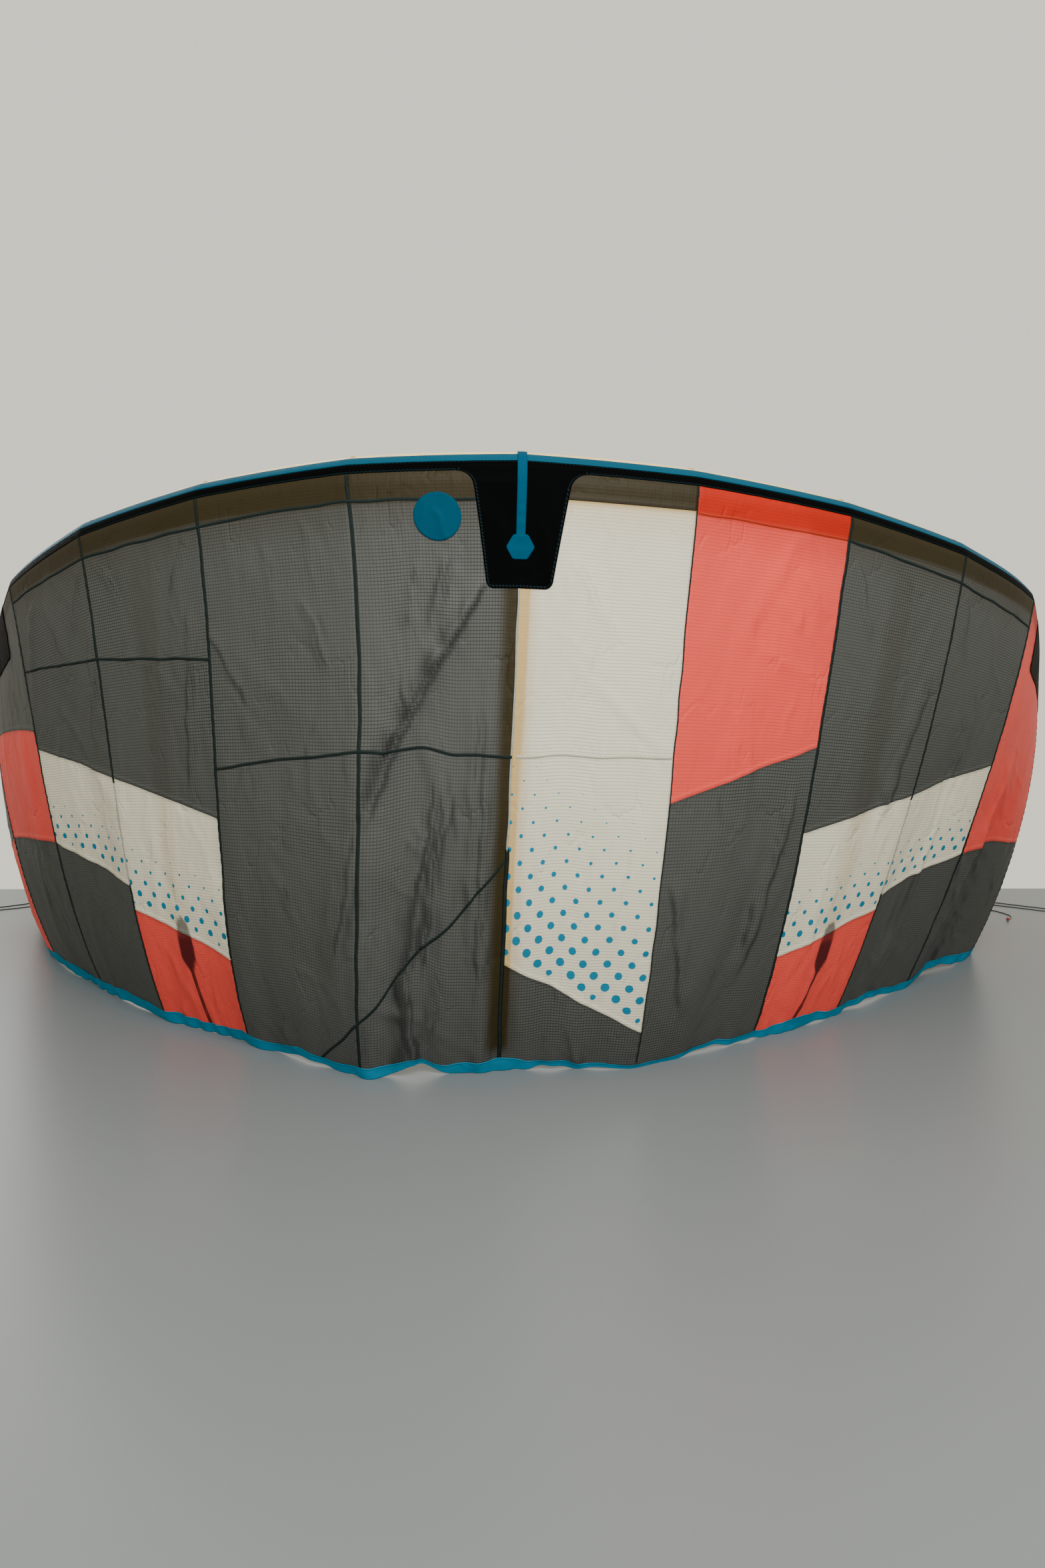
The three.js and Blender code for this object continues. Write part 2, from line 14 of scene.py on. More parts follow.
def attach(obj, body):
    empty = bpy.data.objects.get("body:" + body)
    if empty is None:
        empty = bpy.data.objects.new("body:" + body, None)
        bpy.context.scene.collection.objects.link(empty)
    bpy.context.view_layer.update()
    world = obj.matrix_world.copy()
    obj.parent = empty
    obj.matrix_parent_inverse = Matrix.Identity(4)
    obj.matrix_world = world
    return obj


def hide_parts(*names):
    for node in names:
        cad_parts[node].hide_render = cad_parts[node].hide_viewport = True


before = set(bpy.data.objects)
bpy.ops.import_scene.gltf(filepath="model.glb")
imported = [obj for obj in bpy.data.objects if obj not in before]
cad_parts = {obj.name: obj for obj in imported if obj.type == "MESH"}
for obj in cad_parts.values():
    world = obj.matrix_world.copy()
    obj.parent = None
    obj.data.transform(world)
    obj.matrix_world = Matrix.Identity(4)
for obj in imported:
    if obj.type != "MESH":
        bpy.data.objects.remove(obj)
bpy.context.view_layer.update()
mm = 0.001

# ---------- camera ----------
# A phone's wide main lens, held at the height of a person's chest some three metres in front of the
# kite and tipped down a little.

camera_place = (-0.1543, -4.1405, 1.36)
camera_tip, camera_roll, camera_turn = np.radians([9.17, 0.61, 2.6])


def add_object(name, data):
    """An object of this mesh, lamp or camera, added to the scene."""
    thing = bpy.data.objects.new(name, data)
    bpy.context.collection.objects.link(thing)
    return thing


camera_data = bpy.data.cameras.new("camera")
camera_data.sensor_width = 36
camera_data.lens = 26.94
camera = add_object("camera", camera_data)
camera.matrix_world = (
    Matrix.Translation(camera_place)
    @ Matrix.Rotation(-camera_turn, 4, "Z")
    @ Matrix.Rotation(np.pi / 2 - camera_tip, 4, "X")
    @ Matrix.Rotation(camera_roll, 4, "Z")
)
bpy.context.scene.camera = camera

# ---------- bridle lines and tip line ----------
# Braided polyester lines of 4 mm. They leave the tips of the tube and of the trailing edge, drop to
# the ground and lie there in a loose loop, each ended by a stopper knot.

line_diameter = 4 * mm
on_ground = line_diameter / 2
knot_radius = 7 * mm
line_hex = "26282A"
knot_hex = "A3221F"


def laid_line(fall, loop):
    """Points of a line: x, y, z where it falls, then x, y where it lies on the ground."""
    return fall + [[x, y, on_ground] for x, y in loop]


right_bridle = laid_line([
    [1.7318, 1.0218, 0.3828], [1.7224, 1.0185, 0.382], [1.715, 1.016, 0.376], [1.711, 1.0146, 0.366],
    [1.7093, 1.014, 0.35], [1.7085, 1.0138, 0.3], [1.7088, 1.0145, 0.2], [1.7095, 1.016, 0.1],
    [1.711, 1.021, 0.04], [1.715, 1.031, 0.013], [1.724, 1.048, 0.0036],
], [
    (1.741, 1.08), (1.776, 1.113), (1.831, 1.126), (1.901, 1.113), (1.991, 1.07), (2.101, 1.008),
    (2.231, 0.934), (2.341, 0.87), (2.421, 0.826), (2.476, 0.79), (2.489, 0.764), (2.467, 0.754),
    (2.401, 0.782), (2.311, 0.834), (2.211, 0.89), (2.111, 0.942), (2.021, 0.988), (1.946, 1.026),
    (1.906, 1.05),
])
left_bridle = laid_line([
    [-1.8079, 1.0269, 0.383], [-1.7986, 1.0251, 0.3822], [-1.7915, 1.0237, 0.376], [-1.7875, 1.023, 0.366],
    [-1.786, 1.0227, 0.35], [-1.785, 1.0226, 0.3], [-1.785, 1.0228, 0.2], [-1.786, 1.024, 0.1],
    [-1.788, 1.029, 0.04], [-1.792, 1.038, 0.013], [-1.8, 1.052, 0.0036],
], [
    (-1.816, 1.08), (-1.854, 1.108), (-1.904, 1.112), (-1.964, 1.078), (-2.014, 1.012), (-2.084, 0.938),
    (-2.169, 0.884), (-2.249, 0.844), (-2.301, 0.81), (-2.311, 0.782), (-2.285, 0.774), (-2.229, 0.8),
    (-2.159, 0.834), (-2.079, 0.874), (-2.014, 0.92), (-1.979, 0.963),
])
tip_line = laid_line([], [
    (1.8493, 0.988), (1.896, 0.966), (1.961, 0.926), (2.031, 0.884), (2.101, 0.842), (2.153, 0.806),
    (2.177, 0.774), (2.193, 0.738), (2.197, 0.706), (2.183, 0.676), (2.159, 0.648),
])


def linear(colour):
    """Linear RGBA of an sRGB hex colour: the sRGB curve undone, channel by channel."""
    value = np.array([int(colour[i : i + 2], 16) for i in (0, 2, 4)]) / 255
    curve = np.where(value > 0.04045, ((value + 0.055) / 1.055) ** 2.4, value / 12.92)
    return (*curve.tolist(), 1.0)


def add_node(material, kind, inputs, **settings):
    """Adds a shader node, sets its properties, and gives each input a value or an output. A node given
    as an input stands for its first output in use."""
    node = material.node_tree.nodes.new("ShaderNode" + kind)
    for name, value in settings.items():
        setattr(node, name, value)
    for key, value in inputs.items():
        if isinstance(value, bpy.types.Node):
            value = next(output for output in value.outputs if output.enabled)
        if isinstance(value, bpy.types.NodeSocket):
            material.node_tree.links.new(value, node.inputs[key])
        else:
            node.inputs[key].default_value = value
    return node


def new_material(name):
    """A node material with no nodes yet."""
    material = bpy.data.materials.new(name)
    material.use_nodes = True
    material.node_tree.nodes.clear()
    return material


def hermite(t, start, leaving, end, arriving):
    """Cubic Hermite curve from start to end, with the directions in which it leaves and arrives."""
    curve = (2 * t**3 - 3 * t**2 + 1) * start + (t**3 - 2 * t**2 + t) * leaving
    return curve + (3 * t**2 - 2 * t**3) * end + (t**3 - t**2) * arriving


def distance_along(path):
    """Metres along a path from its first point to each of its points."""
    return np.concatenate([[0], np.cumsum(np.linalg.norm(np.diff(path, axis=0), axis=1))])


def smooth_curve(points, steps):
    """Centripetal Catmull-Rom curve: between two points, the four around it are weighed by the square
    roots of the distances between them, so that the curve neither loops nor overshoots."""
    points = np.array(points)
    ends = [2 * points[0] - points[1]], [2 * points[-1] - points[-2]]
    around = np.vstack([ends[0], points, ends[1]])
    gap = np.linalg.norm(np.diff(around, axis=0), axis=1)[:, None] ** 0.5
    before, here, after, beyond = (around[k : len(points) - 1 + k] for k in range(4))
    gap0, gap1, gap2 = (gap[k : len(points) - 1 + k] for k in range(3))
    leave = (here - before) / gap0 - (after - before) / (gap0 + gap1) + (after - here) / gap1
    arrive = (after - here) / gap1 - (beyond - here) / (gap1 + gap2) + (beyond - after) / gap2
    t = np.linspace(0, 1, steps, endpoint=False)[:, None, None]
    curve = hermite(t, here, leave * gap1, after, arrive * gap1)
    return np.vstack([curve.transpose(1, 0, 2).reshape(-1, 3), points[-1:]])


def unit(vectors):
    """Vectors of length one with the same directions."""
    return vectors / np.linalg.norm(vectors, axis=-1, keepdims=True)


def add_piece(name, points, uv, materials, replaced, round_about=False, band=None, wall=0.0):
    """A piece from a grid of points (rows, columns, 3): neighbours in both directions are joined by
    quads. "round_about" joins the last column to the first and closes both end rings, or only the
    first one where it is "open". "band" gives the material number of each row of quads. "wall" makes a
    single surface a closed cloth that is so thick, on its inner side."""
    rows, columns = points.shape[:2]
    number = np.arange(rows * columns).reshape(rows, columns)
    if round_about:
        number = np.hstack([number, number[:, :1]])
        uv = np.concatenate([uv, 2 * uv[:, -1:] - uv[:, -2:-1]], axis=1)
    corners = [slice(None, -1), slice(1, None)]
    around = [(0, 0), (1, 0), (1, 1), (0, 1)]
    quads = np.stack([number[corners[i], corners[j]] for i, j in around], axis=-1).reshape(-1, 4)
    quad_uv = np.stack([uv[corners[i], corners[j]] for i, j in around], axis=2).reshape(-1, 2)
    faces = quads.tolist()
    if round_about:
        faces += [number[0, :-1].tolist()]
        quad_uv = np.vstack([quad_uv, uv[0, :-1]])
    if round_about is True:
        faces += [number[-1, :-1][::-1].tolist()]
        quad_uv = np.vstack([quad_uv, uv[-1, :-1][::-1]])
    mesh = bpy.data.meshes.new(name)
    mesh.from_pydata(points.reshape(-1, 3).tolist(), [], faces)
    mesh.uv_layers.new(name="cloth").data.foreach_set("uv", quad_uv.ravel())
    mesh.polygons.foreach_set("use_smooth", [True] * len(faces))
    for material in materials:
        mesh.materials.append(material)
    if band is not None:
        across = number.shape[1] - 1
        mesh.polygons.foreach_set("material_index", np.repeat(band, across))
    piece = add_object(name, mesh)
    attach(piece, "root")
    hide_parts(*replaced)
    if wall:
        solid = piece.modifiers.new("thickness", "SOLIDIFY")
        solid.thickness = wall
        solid.offset = -1
    return piece


def braid(name, colour):
    """Braided polyester line: two sets of strands cross at a slant, and each strand is rounded, so
    that the line glints in short diamonds; the grooves between strands are darkened by painted shade.
    Strands are 1.6 mm wide, drawn a little coarse."""
    material = new_material(name)
    place = add_node(material, "TexCoord", {})
    uv = add_node(material, "SeparateXYZ", {"Vector": place.outputs["UV"]})
    waves = []
    for sign in (1.0, -1.0):
        slant = add_node(material, "Math", {
            0: uv.outputs["X"], 1: sign, 2: uv.outputs["Y"]}, operation="MULTIPLY_ADD")
        waves.append(add_node(material, "Math", {0: slant, 1: 0.8 * mm}, operation="PINGPONG"))
    strands = add_node(material, "Math", {0: waves[0], 1: waves[1]}, operation="MAXIMUM")
    # Painted shade: the colour darkens to 45 % in the grooves between the strands.
    shade = add_node(material, "MapRange", {
        "Value": strands, "From Max": 0.8 * mm, "To Min": 0.45, "To Max": 1.0})
    colour_node = add_node(material, "Mix", {
        "Factor": shade, "A": (0, 0, 0, 1), "B": linear(colour)}, data_type="RGBA")
    bump = add_node(material, "Bump", {"Height": strands, "Strength": 0.6, "Distance": 1.0})
    shader = add_node(material, "BsdfPrincipled", {
        "Base Color": colour_node, "Normal": bump, "Roughness": 0.6, "Sheen Weight": 0.2})
    add_node(material, "OutputMaterial", {"Surface": shader})
    return material


def tube_along(path, radius, sides):
    """Rings of points round a path, and the metres along and round it. Each ring stands square to the
    path and is turned as little as possible from the one before, by carrying one direction along."""
    ahead = unit(np.gradient(path, axis=0))
    across = np.cross(ahead, [0, 0, 1.0])
    flat = np.linalg.norm(across, axis=1, keepdims=True)
    steady = np.array([0.0, 1.0, 0.0])
    across = unit(np.where(flat > 0.2, across, across + steady))
    across = unit(across - (across * ahead).sum(1, keepdims=True) * ahead)
    above = np.cross(across, ahead)
    turn = np.linspace(0, 2 * np.pi, sides, endpoint=False)[None, :, None]
    rings = path[:, None] + radius * (np.cos(turn) * across[:, None] + np.sin(turn) * above[:, None])
    far = distance_along(path)
    uv = np.stack(np.meshgrid(far, turn.ravel() * line_diameter / 2, indexing="ij"), axis=-1)
    return rings, uv, far[-1]


def stopper_knot(centre, radius):
    """Overhand knot drawn tight, as a ball with three strands wound over it: the radius swells in
    bands that run round the ball at a slant."""
    rise, turn = np.meshgrid(np.linspace(0.04, np.pi - 0.04, 22), np.linspace(0, 2 * np.pi, 28)[:-1],
                             indexing="ij")
    swell = radius * (0.86 + 0.14 * np.abs(np.cos(1.5 * (rise * 1.6 + turn))))
    ball = np.stack([np.sin(rise) * np.cos(turn), np.sin(rise) * np.sin(turn), np.cos(rise)], axis=-1)
    points = np.array(centre) + swell[..., None] * ball
    points[..., 2] = np.maximum(points[..., 2], 0.0)
    return points, np.stack([rise * radius, turn * radius], axis=-1)


# Braided polyester, dull but for the glints on its strands; that of the tip line's knot is dyed red.
line_material = braid("line_braided_polyester", line_hex)
knot_material = braid("knot_braided_polyester_red", knot_hex)
line_kinds = [
    ("bridle_right", right_bridle, "bridle_line_right", "bridle_knot_right", line_material, "line_black"),
    ("bridle_left", left_bridle, "bridle_line_left", "bridle_knot_left", line_material, "line_black"),
    ("tip_right", tip_line, "tip_line_right", "tip_knot_right", knot_material, "knot_red"),
]
for name, points, line_node, knot_node, knot_finish, knot_slot in line_kinds:
    path = smooth_curve(points, 8)
    path[:, 2] = np.maximum(path[:, 2], on_ground)
    rings, uv, length = tube_along(path, line_diameter / 2 - 0.02 * mm, 10)
    cord = add_piece(f"{name}_line", rings, uv, [line_material], [line_node],
                     round_about=True)
    onward = unit(path[-1] - path[-2])
    centre = path[-1] + onward * (knot_radius - 0.3 * mm)
    centre[2] = knot_radius
    ball, ball_uv = stopper_knot(centre, knot_radius)
    knot = add_piece(f"{name}_knot", ball, ball_uv, [knot_finish], [knot_node], round_about=True)

# ---------- leading-edge tube ----------
# Air-filled sleeve of cream woven polyester that gives the kite its arc. It is sewn from one cut
# length per gore, so it turns a corner at each seam, and a bladder inside keeps it round.

cream_hex = "E6CE92"
seam_names = ("left_tip", "left_F", "left_E", "left_D", "left_C", "left_A", "left_B", "centre",
              "right_B", "right_A", "right_C", "right_D", "right_E", "right_F", "right_tip")
# For each seam: centre of the tube x, y, z; ground point of the cloth's edge x, y; and how far the
# seam strays sideways at mid chord, in gore widths.
seam_places = np.array([
    [-1.844, 1.038, 0.380, -1.914, 1.048, 0],
    [-1.924, 0.628, 0.695, -1.909, 0.643, 0],
    [-1.799, 0.148, 1.070, -1.664, 0.103, 0],
    [-1.579, -0.212, 1.350, -1.404, -0.212, 0.02],
    [-1.269, -0.477, 1.495, -1.109, -0.502, 0],
    [-0.884, -0.687, 1.585, -0.809, -0.699, 0],
    [-0.466, -0.832, 1.635, -0.459, -0.960, 0.06],
    [-0.019, -0.856, 1.647, -0.069, -0.917, 0],
    [0.441, -0.830, 1.618, 0.328, -0.904, 0],
    [0.901, -0.684, 1.560, 0.728, -0.691, 0],
    [1.318, -0.489, 1.470, 1.046, -0.496, 0.03],
    [1.654, -0.250, 1.343, 1.364, -0.214, -0.02],
    [1.886, 0.143, 1.040, 1.761, 0.143, 0],
    [1.916, 0.603, 0.695, 1.876, 0.628, 0],
    [1.766, 1.038, 0.380, 1.836, 1.048, 0],
])
last_station = len(seam_names) // 2
gore_width = 0.46  # typical, turns stations into metres
tube_radius_centre = 95 * mm
tube_radius_tip = 38 * mm
sleeve_tape_width = 16 * mm
tube_corner = 0.55  # how far the tube's line is drawn from a smooth arc towards straight lengths


def along_seams(columns, station, corner):
    """Place between two seams: a Catmull-Rom curve through the seams' own places, drawn towards the
    straight line between the two by the share "corner"."""
    places = seam_places[:, columns]
    around = np.vstack([2 * places[0] - places[1], places, 2 * places[-1] - places[-2]])
    station = np.clip(station, -last_station, last_station) + last_station
    first = np.minimum(np.floor(station), 2 * last_station - 1).astype(int)
    t = (station - first)[..., None]
    before, here, after, beyond = (around[first + k] for k in range(4))
    curve = here + 0.5 * (
        (after - before) * t
        + (2 * before - 5 * here + 4 * after - beyond) * t**2
        + (3 * here - before - 3 * after + beyond) * t**3
    )
    return curve + corner * (here + (after - here) * t - curve)


def tube_radius(station):
    """Radius of the tube: widest at the centre, it tapers with the 1.3th power of the station."""
    taper = (np.abs(station) / last_station) ** 1.3
    return tube_radius_centre - (tube_radius_centre - tube_radius_tip) * taper


def tube_frame(station):
    """Centre of the tube and its directions: along it, outward (level) and upward."""
    step = 0.001
    centre = along_seams([0, 1, 2], station, tube_corner)
    ahead = along_seams([0, 1, 2], station + step, 0)
    along = unit(ahead - along_seams([0, 1, 2], station - step, 0))
    outward = unit(np.stack([along[..., 1], -along[..., 0], np.zeros_like(station)], axis=-1))
    return centre, along, outward, np.cross(outward, along)


def around_tube(station, angle, radius):
    """Point at an angle, in radians above the outward side, on a circle round the tube."""
    centre, _, outward, upward = tube_frame(station)
    reach = np.cos(angle)[..., None] * outward + np.sin(angle)[..., None] * upward
    return centre + radius[..., None] * reach


def woven(name, colour, roughness, thread=2.5 * mm, relief=0.3, shine=0.4):
    """Woven cloth: threads cross at right angles and catch the light, and the dye varies a little in
    tone. "thread" is the drawn spacing in metres, some five times the real one so that it shows,
    "relief" the strength of the weave and "shine" the specular level, low where the cloth is matt."""
    material = new_material(name)
    place = add_node(material, "TexCoord", {})
    uv = add_node(material, "SeparateXYZ", {"Vector": place.outputs["UV"]})
    ribs = [
        add_node(material, "Math", {0: uv.outputs[axis], 1: thread / 2}, operation="PINGPONG")
        for axis in ("X", "Y")
    ]
    weave = add_node(material, "Math", {0: ribs[0], 1: ribs[1]})
    tone = add_node(material, "TexNoise", {"Vector": place.outputs["Object"], "Scale": 5.0, "Detail": 6.0})
    light = add_node(material, "MapRange", {
        "Value": tone, "From Min": 0.3, "From Max": 0.7, "To Min": 0.94, "To Max": 1.06})
    threads = add_node(material, "MapRange", {
        "Value": weave, "From Max": thread, "To Min": 0.93, "To Max": 1.04})
    both = add_node(material, "Math", {0: light, 1: threads}, operation="MULTIPLY")
    shade = add_node(material, "Mix", {
        "Factor": 1.0, "A": linear(colour), "B": both}, data_type="RGBA", blend_type="MULTIPLY")
    crinkle = add_node(material, "TexNoise", {
        "Vector": place.outputs["Object"], "Scale": 38.0, "Detail": 3.0})
    soft = add_node(material, "Bump", {"Height": crinkle, "Strength": 0.25, "Distance": 3 * mm})
    bump = add_node(material, "Bump", {
        "Height": weave, "Strength": relief, "Distance": 0.5, "Normal": soft})
    shader = add_node(material, "BsdfPrincipled", {
        "Base Color": shade, "Roughness": roughness, "Normal": bump, "Specular IOR Level": shine})
    add_node(material, "OutputMaterial", {"Surface": shader})
    return material


# Woven polyester of 170 g, coated, so that it has a satin sheen over fine ribs. The threads are 0.6 mm
# apart and drawn 3 mm apart.
cream_material = woven("polyester_sleeve_cream", cream_hex, 0.5, 3 * mm, 0.35)


def sleeve_length(first, last):
    """One length of the sleeve: rings round the tube between two seams. Each ring swells by up to
    2 mm between the seams, where the thread holds the cloth in, and puckers close to them."""
    station = np.linspace(first, last, 30)
    if abs(last) == last_station:
        station = np.append(station, last)
    elif abs(first) == last_station:
        station = np.insert(station, 0, first)
    angle = np.linspace(0, 2 * np.pi, 56, endpoint=False)
    station, angle = np.meshgrid(station, angle, indexing="ij")
    share = np.clip((station - first) / (last - first), 0, 1)
    swell = 2.0 * mm * np.sin(np.pi * share) ** 0.6 - 1.6 * mm
    near_seam = np.exp(-((np.minimum(share, 1 - share) / 0.05) ** 2))
    pucker = 0.7 * mm * near_seam * np.sin(19 * angle + 3 * np.sin(2 * angle))
    radius = tube_radius(station) + swell + pucker
    for row in (0, -1):
        if abs(station[row, 0]) == last_station:
            radius[row] *= 0.55
    points = around_tube(station, angle, radius)
    return points, np.stack([station * gore_width, angle * tube_radius(station)], axis=-1)


def gore_name(first):
    """Name of the gore that begins at a seam and ends at the next one to the right."""
    return f"left_{-first}" if first < 0 else f"right_{first + 1}"


gore_starts = range(-last_station, last_station)
for first in gore_starts:
    points, uv = sleeve_length(first, first + 1)
    name = gore_name(first)
    add_piece(f"sleeve_{name}", points, uv, [cream_material], [f"leading_edge_tube_{name}"],
              round_about=True)

# A flat cream tape covers each seam of the sleeve where no cloth lies on it.
for seam in range(1 - last_station, last_station):
    half = sleeve_tape_width / 2 / gore_width
    angle, station = np.meshgrid(np.radians(np.linspace(76, 352, 48)), np.linspace(-half, half, 5) + seam)
    radius = tube_radius(station) + 1.1 * mm - 0.5 * mm * (np.abs(station - seam) / half) ** 4
    uv = np.stack([station * gore_width, angle * tube_radius(station)], axis=-1)
    add_piece(f"sleeve_tape_{seam + last_station}", around_tube(station, angle, radius), uv,
              [cream_material], [], wall=0.8 * mm)

# ---------- canopy ----------
# Fourteen gores of thin coated ripstop hang from the tube to the ground. Each is sewn from panels cut
# on a slant, grey for the most part with white and coral ones, in plain blocks of colour.

cloth_thickness = 1.0 * mm
cloth_fit = 0.35 * mm  # between the tube and the cloth
edge_lean = np.radians(22)  # by which the cloth leans over where it reaches the ground
edge_corner = 0.3  # as tube_corner, for the line on the ground
wrap_lowest, wrap_row = np.radians([2.5, 22.5])  # where the cloth leaves the tube; a step of 1 in "down"
chord_length = 1.6  # typical, turns shares of the way down into metres
wrap_length = 37 * mm  # of the cloth on the tube, for a step of 1 in "down"
cloth_top = -2.72  # place down of the cloth's upper edge, under the piping, before its turn
felled_width = 9 * mm  # overlap of two panels, sewn down on both sides
binding_sole = 1.35 * mm  # what the binding adds under the cloth's edge
ripstop_square = 9 * mm  # as drawn, 7 mm in the real cloth
webbing_width = 18 * mm
gore_columns, row_spacing = 61, 11 * mm  # of the gores' grids

grey_hex = "595B58"
white_hex = "E6E1CB"
coral_hex = "EC574D"

# Where the edge lifts off the ground: station, half width in stations, height in metres.
lifts = [
    (-4.8, 0.4, 0.006), (-3.5, 0.35, 0.005), (-1.5, 0.3, 0.012), (-0.6, 0.26, 0.036),
    (0.36, 0.22, 0.013), (0.75, 0.2, 0.006), (1.6, 0.3, 0.011), (1.95, 0.12, 0.008), (2.75, 0.2, 0.006),
    (3.5, 0.45, 0.013), (4.55, 0.3, 0.017),
]
# Where the edge bends in or out: station, half width in stations, distance out in metres.
bends = [
    (-5.2, 0.3, 0.012), (-4.3, 0.3, -0.010), (-3.0, 0.25, 0.010), (-1.9, 0.2, 0.014),
    (-1.25, 0.2, -0.012), (-0.92, 0.16, 0.022), (-0.55, 0.16, -0.016), (-0.12, 0.25, 0.008),
    (0.55, 0.2, -0.010), (0.95, 0.2, 0.008), (1.55, 0.25, -0.010), (2.35, 0.3, 0.010),
    (3.2, 0.25, -0.012), (3.9, 0.3, 0.012), (4.5, 0.25, -0.018), (5.1, 0.35, 0.012),
]
# Folds: from and to (station, share down), reach to the left and to the right of the fold's line and
# height, in metres. A short reach makes that side sharp.
folds = [
    (-0.22, 0.15, -1.0, 0.52, 0.070, 0.045, 0.010), (-0.5, 0.48, -0.62, 1.0, 0.05, 0.045, 0.013),
    (-0.82, 0.6, -0.86, 1.0, 0.06, 0.06, -0.012), (-0.22, 0.4, -0.14, 1.0, 0.045, 0.045, 0.007),
    (-1.5, 0.3, -1.4, 0.9, 0.07, 0.07, -0.009), (-2.1, 0.62, -1.95, 1.0, 0.06, 0.06, 0.010),
    (-3.4, 0.2, -3.3, 0.85, 0.07, 0.07, -0.008), (-4.3, 0.25, -4.25, 0.9, 0.06, 0.06, 0.009),
    (0.55, 0.25, 0.6, 0.95, 0.08, 0.08, -0.008), (1.45, 0.2, 1.5, 0.9, 0.07, 0.07, 0.007),
    (3.45, 0.3, 3.4, 0.9, 0.06, 0.06, -0.009), (4.5, 0.4, 4.35, 1.0, 0.055, 0.055, -0.016),
    (4.15, 0.5, 4.05, 1.0, 0.055, 0.055, 0.012),
    (-0.18, 0.14, -0.60, 0.32, 0.035, 0.009, 0.010), (-0.46, 0.26, -0.86, 0.45, 0.032, 0.009, 0.011),
    (-0.72, 0.37, -1.0, 0.56, 0.035, 0.010, 0.008), (-0.56, 0.25, -0.44, 0.10, 0.010, 0.02, 0.005),
    (-0.48, 0.44, -0.71, 0.86, 0.010, 0.030, 0.012), (-0.48, 0.44, -0.59, 0.86, 0.030, 0.010, -0.011),
    (-0.70, 0.78, -0.61, 1.0, 0.02, 0.011, 0.010),
    (-0.18, 0.30, -0.17, 0.90, 0.009, 0.022, 0.005), (-0.27, 0.30, -0.25, 0.72, 0.018, 0.010, 0.004),
    (-0.62, 0.12, -0.70, 0.24, 0.010, 0.020, 0.004), (-0.38, 0.12, -0.48, 0.22, 0.010, 0.02, 0.004),
    (-0.98, 0.52, -1.16, 0.80, 0.012, 0.03, 0.007), (-3.7, 0.05, -3.9, 0.22, 0.010, 0.02, 0.005),
    (-3.04, 0.03, -3.24, 0.17, 0.009, 0.018, 0.005), (-2.9, 0.04, -2.7, 0.14, 0.016, 0.009, 0.004),
    (-2.1, 0.03, -2.28, 0.15, 0.009, 0.018, 0.004), (2.06, 0.04, 2.3, 0.2, 0.018, 0.009, 0.004),
    (3.05, 0.04, 3.25, 0.2, 0.018, 0.009, 0.005), (0.30, 0.10, 0.62, 0.24, 0.02, 0.009, 0.005),
    (-1.35, 0.16, -1.15, 0.30, 0.009, 0.020, 0.005), (-2.12, 0.14, -2.25, 0.52, 0.010, 0.022, 0.006),
    (-2.02, 0.20, -1.72, 0.34, 0.009, 0.02, 0.004), (-3.02, 0.14, -3.2, 0.42, 0.010, 0.025, 0.006),
    (1.06, 0.60, 1.30, 0.92, 0.012, 0.03, 0.007), (1.9, 0.44, 1.66, 0.88, 0.03, 0.011, 0.007),
    (2.9, 0.20, 2.7, 0.60, 0.026, 0.010, 0.006), (4.4, 0.30, 4.1, 0.92, 0.03, 0.012, 0.010),
    (0.62, 0.30, 0.50, 0.74, 0.02, 0.02, 0.004), (0.86, 0.48, 0.70, 0.95, 0.016, 0.03, 0.004),
]
fold_fade = 0.22  # share of a fold's length over which each end fades


def raised(station, rows):
    """Sum of raised cosines, one per row: station, half width and height."""
    total = np.zeros_like(station)
    for middle, half, height in rows:
        distance = np.minimum(np.abs(station - middle) / half, 1)
        total = total + height * np.cos(distance * np.pi / 2) ** 2
    return total


def ramp(value):
    """Smooth step from 0 to 1: three squares less two cubes."""
    value = np.clip(value, 0, 1)
    return value * value * (3 - 2 * value)


def fold_height(station, down):
    """A bell across each fold's line, with its own reach on each side, faded at both ends."""
    total = np.zeros_like(station)
    for from_station, from_down, to_station, to_down, left, right, height in folds:
        line = np.array([(to_station - from_station) * gore_width, (to_down - from_down) * chord_length])
        x = (station - from_station) * gore_width
        y = (down - from_down) * chord_length
        progress = (x * line[0] + y * line[1]) / (line @ line)
        across = (x * line[1] - y * line[0]) / np.hypot(*line)
        across = across + 4 * mm * np.sin(x / 0.021 + y / 0.034) + 2.5 * mm * np.sin(x / 0.013 - y / 0.018)
        bell = np.exp(-((across / np.where(across < 0, left, right)) ** 2))
        ends = 1.0 if to_down == 1 else 1 - ramp((progress - 1 + fold_fade) / fold_fade)
        total = total + height * bell * ramp(progress / fold_fade) * ends
    return total


